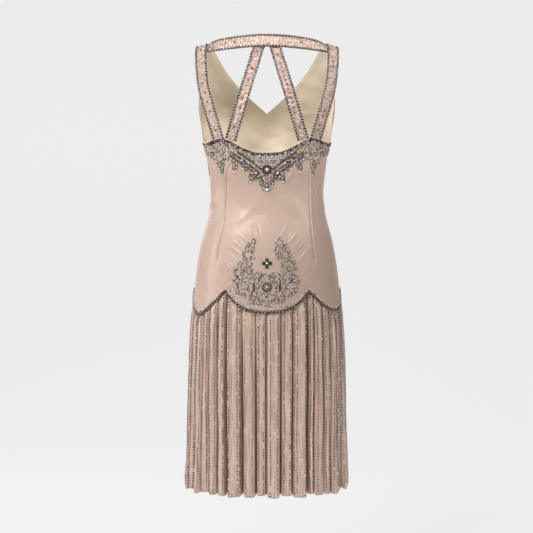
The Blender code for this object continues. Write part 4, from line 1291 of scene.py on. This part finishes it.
def make_strap_beads(sewn_on):
    """Twisted edging of dark and pale bugles, small beads, and a row of sequins down the middle."""
    for node, (grid, normals) in sewn_on.items():

        def beside_gathers(line):
            return np.abs(line[0][:, 0]) > (BAND_BARE if node == "neck_band" else 0)

        box = BeadBox()
        seed = 400 + len(node) + (7 if node.startswith("left") else 0)
        for share, lean in ((0.065, 0.5), (0.935, -0.5)):
            for phase, size, slot in (
                (0.0024, (0.0037, 0.0026, 0.0022), DARK),
                (0.0063, (0.0026, 0.0013, 0.0017), PALE),
            ):
                spots, out, along = strung(*grid_line(grid, normals, share), 0.0078, phase)
                leaning = along * np.cos(lean) + np.cross(out, along) * np.sin(lean)
                box.sew(BUGLE, (spots, out, leaning), 0.0009, size, slot)
        for share in (0.29, 0.71):
            line = strung(*grid_line(grid, normals, share), 0.0092, 0.004 + 0.004 * share)
            line = only(line, (draws(line, seed, 77) > 0.35) & beside_gathers(line))
            box.sew(SEED, line, 0.0005, 0.0012, pick(line, seed + 9, (0.35, 0.3, 0.35)))
        line = strung(*grid_line(grid, normals, 0.5), 0.0127, 0.008)
        line = only(line, beside_gathers(line))
        is_dark = pick(line, seed, (0.4, 0.3, 0.3)) == DARK
        box.sew(SEQUIN, line, 0.0009, 0.0029, np.where(is_dark, DARK, PALE))
        box.sew(SEED, line, 0.0017, 0.0014, np.where(is_dark, PALE, MID))
        box.make("beads_" + node)


def fold_line(valleys, fold, wave, rows):
    """Points and normals down a line on a fold."""
    points = skirt_points(*fold_at(valleys, fold, wave), rows)
    beside = skirt_points(*fold_at(valleys, fold, wave + 0.004), rows)
    return points, unit(np.cross(beside - points, np.gradient(points, axis=0)))


def make_skirt_beads():
    """Dotted lines of dark beads down both sides of every fold, and pale sequins down its front."""
    valleys = valleys_all_round()
    rows = np.linspace(0.022, 0.990, 400)
    back, front = BeadBox(), BeadBox()

    def down_fold(fold, wave, pitch, start):
        """The box for a line of beads down a fold, and the line."""
        hem_angle = fold_at(valleys, fold, wave)[0]
        box = back if (hem_angle + 90) % 360 < 180 else front
        return box, strung(*fold_line(valleys, fold, wave, rows), pitch, start)

    for fold in range(len(valleys)):
        width = (valleys[(fold + 1) % len(valleys)][0] - valleys[fold][0]) % 360
        # Where on the fold each line is, and the share of its beads that are missing
        lines = [(0.35, 0.03 if width > 7.6 else 0.35), (0.65, 0.03)]
        if width > 9:
            lines += [(0.25, 0.20), (0.75, 0.20)]
        for number, (wave, gaps) in enumerate(lines):
            box, line = down_fold(fold, wave, 0.0071, 0.001 + 0.0017 * ((3 * fold + 2 * number) % 5))
            chance = draws(line, fold * 4 + number, 501)
            line = only(line, chance > gaps)
            size = np.array([0.0022, 0.0020, 0.0015]) * (0.85 + 0.3 * chance[chance > gaps, None])
            box.sew(GRAIN, line, 0.0008, size, pick(line, 510 + fold, (0.88, 0.08, 0.04)))
        box, line = down_fold(fold, 0.5, 0.0285 if width > 7 else 0.041, 0.010 + 0.009 * (fold % 3))
        box.sew(SEQUIN, line, 0.0002, 0.0029, PALE)
        box.sew(SEED, line, 0.0009, 0.0012, MID)
    back.make("beads_skirt_back")
    front.make("beads_skirt_front")


# Stage, lights and camera


def make_stage():
    """Pale floor that curves up into a backdrop."""
    made, shader = new_material("studio floor")
    set_inputs(shader, {"Base Color": (0.12, 0.12, 0.12, 1), "Roughness": 0.9, "Specular IOR Level": 0.1})
    set_inputs(shader, {"Emission Color": (1, 1, 1, 1), "Emission Strength": 0.76})
    floor_height, near, reach, curve, wall, half_width = -1.45, 2.2, -2.0, 1.6, 2.6, 4.0
    profile = [(near, floor_height), (reach, floor_height)]
    for turn in np.linspace(0, np.pi / 2, 12)[1:]:
        profile.append((reach - curve * np.sin(turn), floor_height + curve * (1 - np.cos(turn))))
    profile.append((reach - curve, wall))
    points = np.array([(x, y, z) for y, z in profile for x in (-half_width, half_width)])
    a = np.arange(len(profile) - 1) * 2
    faces = np.concatenate([np.stack([a, a + 1, a + 3], axis=1), np.stack([a, a + 3, a + 2], axis=1)])
    mesh_object("studio_floor", points, faces[:, ::-1], [made])


def area_light(name, location, target, size, power, spread=180):
    """Rectangular light that faces its target."""
    data = bpy.data.lights.new(name, "AREA")
    data.shape = "RECTANGLE"
    data.size, data.size_y = size
    data.energy = power
    data.spread = math.radians(spread)
    made = bpy.data.objects.new(name, data)
    bpy.context.scene.collection.objects.link(made)
    made.location = location
    direction = np.array(target) - np.array(location)
    tilt = math.atan2(math.hypot(direction[0], direction[1]), -direction[2])
    made.rotation_euler = (tilt, 0, math.atan2(direction[1], direction[0]) - math.pi / 2)


def make_lights():
    """World that lights warmly and is seen grey, and five area lights."""
    world = bpy.data.worlds.new("studio")
    bpy.context.scene.world = world
    world.use_nodes = True
    nodes, links = world.node_tree.nodes, world.node_tree.links
    lit = nodes["Background"]
    set_inputs(lit, {"Color": (1, 0.93, 0.87, 1), "Strength": 0.29})
    seen = nodes.new("ShaderNodeBackground")
    set_inputs(seen, {"Color": (0.85, 0.85, 0.85, 1)})
    rays, mixed = nodes.new("ShaderNodeLightPath"), nodes.new("ShaderNodeMixShader")
    links.new(rays.outputs["Is Camera Ray"], mixed.inputs["Fac"])
    links.new(lit.outputs["Background"], mixed.inputs[1])
    links.new(seen.outputs["Background"], mixed.inputs[2])
    links.new(mixed.outputs["Shader"], nodes["World Output"].inputs["Surface"])
    area_light("key", (1.32, 2.12, 1.90), (0, 0, -0.50), (0.7, 0.7), 76)
    area_light("side", (3.0, 0.7, 0.1), (0, 0, -0.55), (0.8, 1.1), 23)
    area_light("top", (-1.7, 1.5, 1.3), (-0.15, 0.05, -0.04), (0.5, 0.5), 0.6, 17)
    area_light("low", (-2.4, 2.0, -1.2), (-0.15, 0, -1.12), (0.8, 0.8), 0.35, 13)
    area_light("front", (1.2, -1.9, 0.6), (0, 0, -0.6), (1.2, 1.2), 22)
    bpy.context.scene.view_settings.view_transform = "Standard"


def make_camera():
    data = bpy.data.cameras.new("camera")
    made = bpy.data.objects.new("camera", data)
    bpy.context.scene.collection.objects.link(made)
    bpy.context.scene.camera = made
    made.location = ((MIDDLE_PIXEL - IMAGE / 2) * PIXEL, DISTANCE, EYE)
    made.rotation_euler = (math.radians(90), 0, math.radians(180))
    data.sensor_width = 36
    data.lens = data.sensor_width * DISTANCE / (IMAGE * PIXEL)


make_camera()
make_stage()
make_lights()
make_bodice()
make_skirt()
sewn_on = make_straps()
make_bust_beadwork()
make_hip_beadwork()
make_hip_flower()
make_dart_shade()
make_back_edge_beads()
make_piping()
make_seam_beads()
make_strap_beads(sewn_on)
make_skirt_beads()
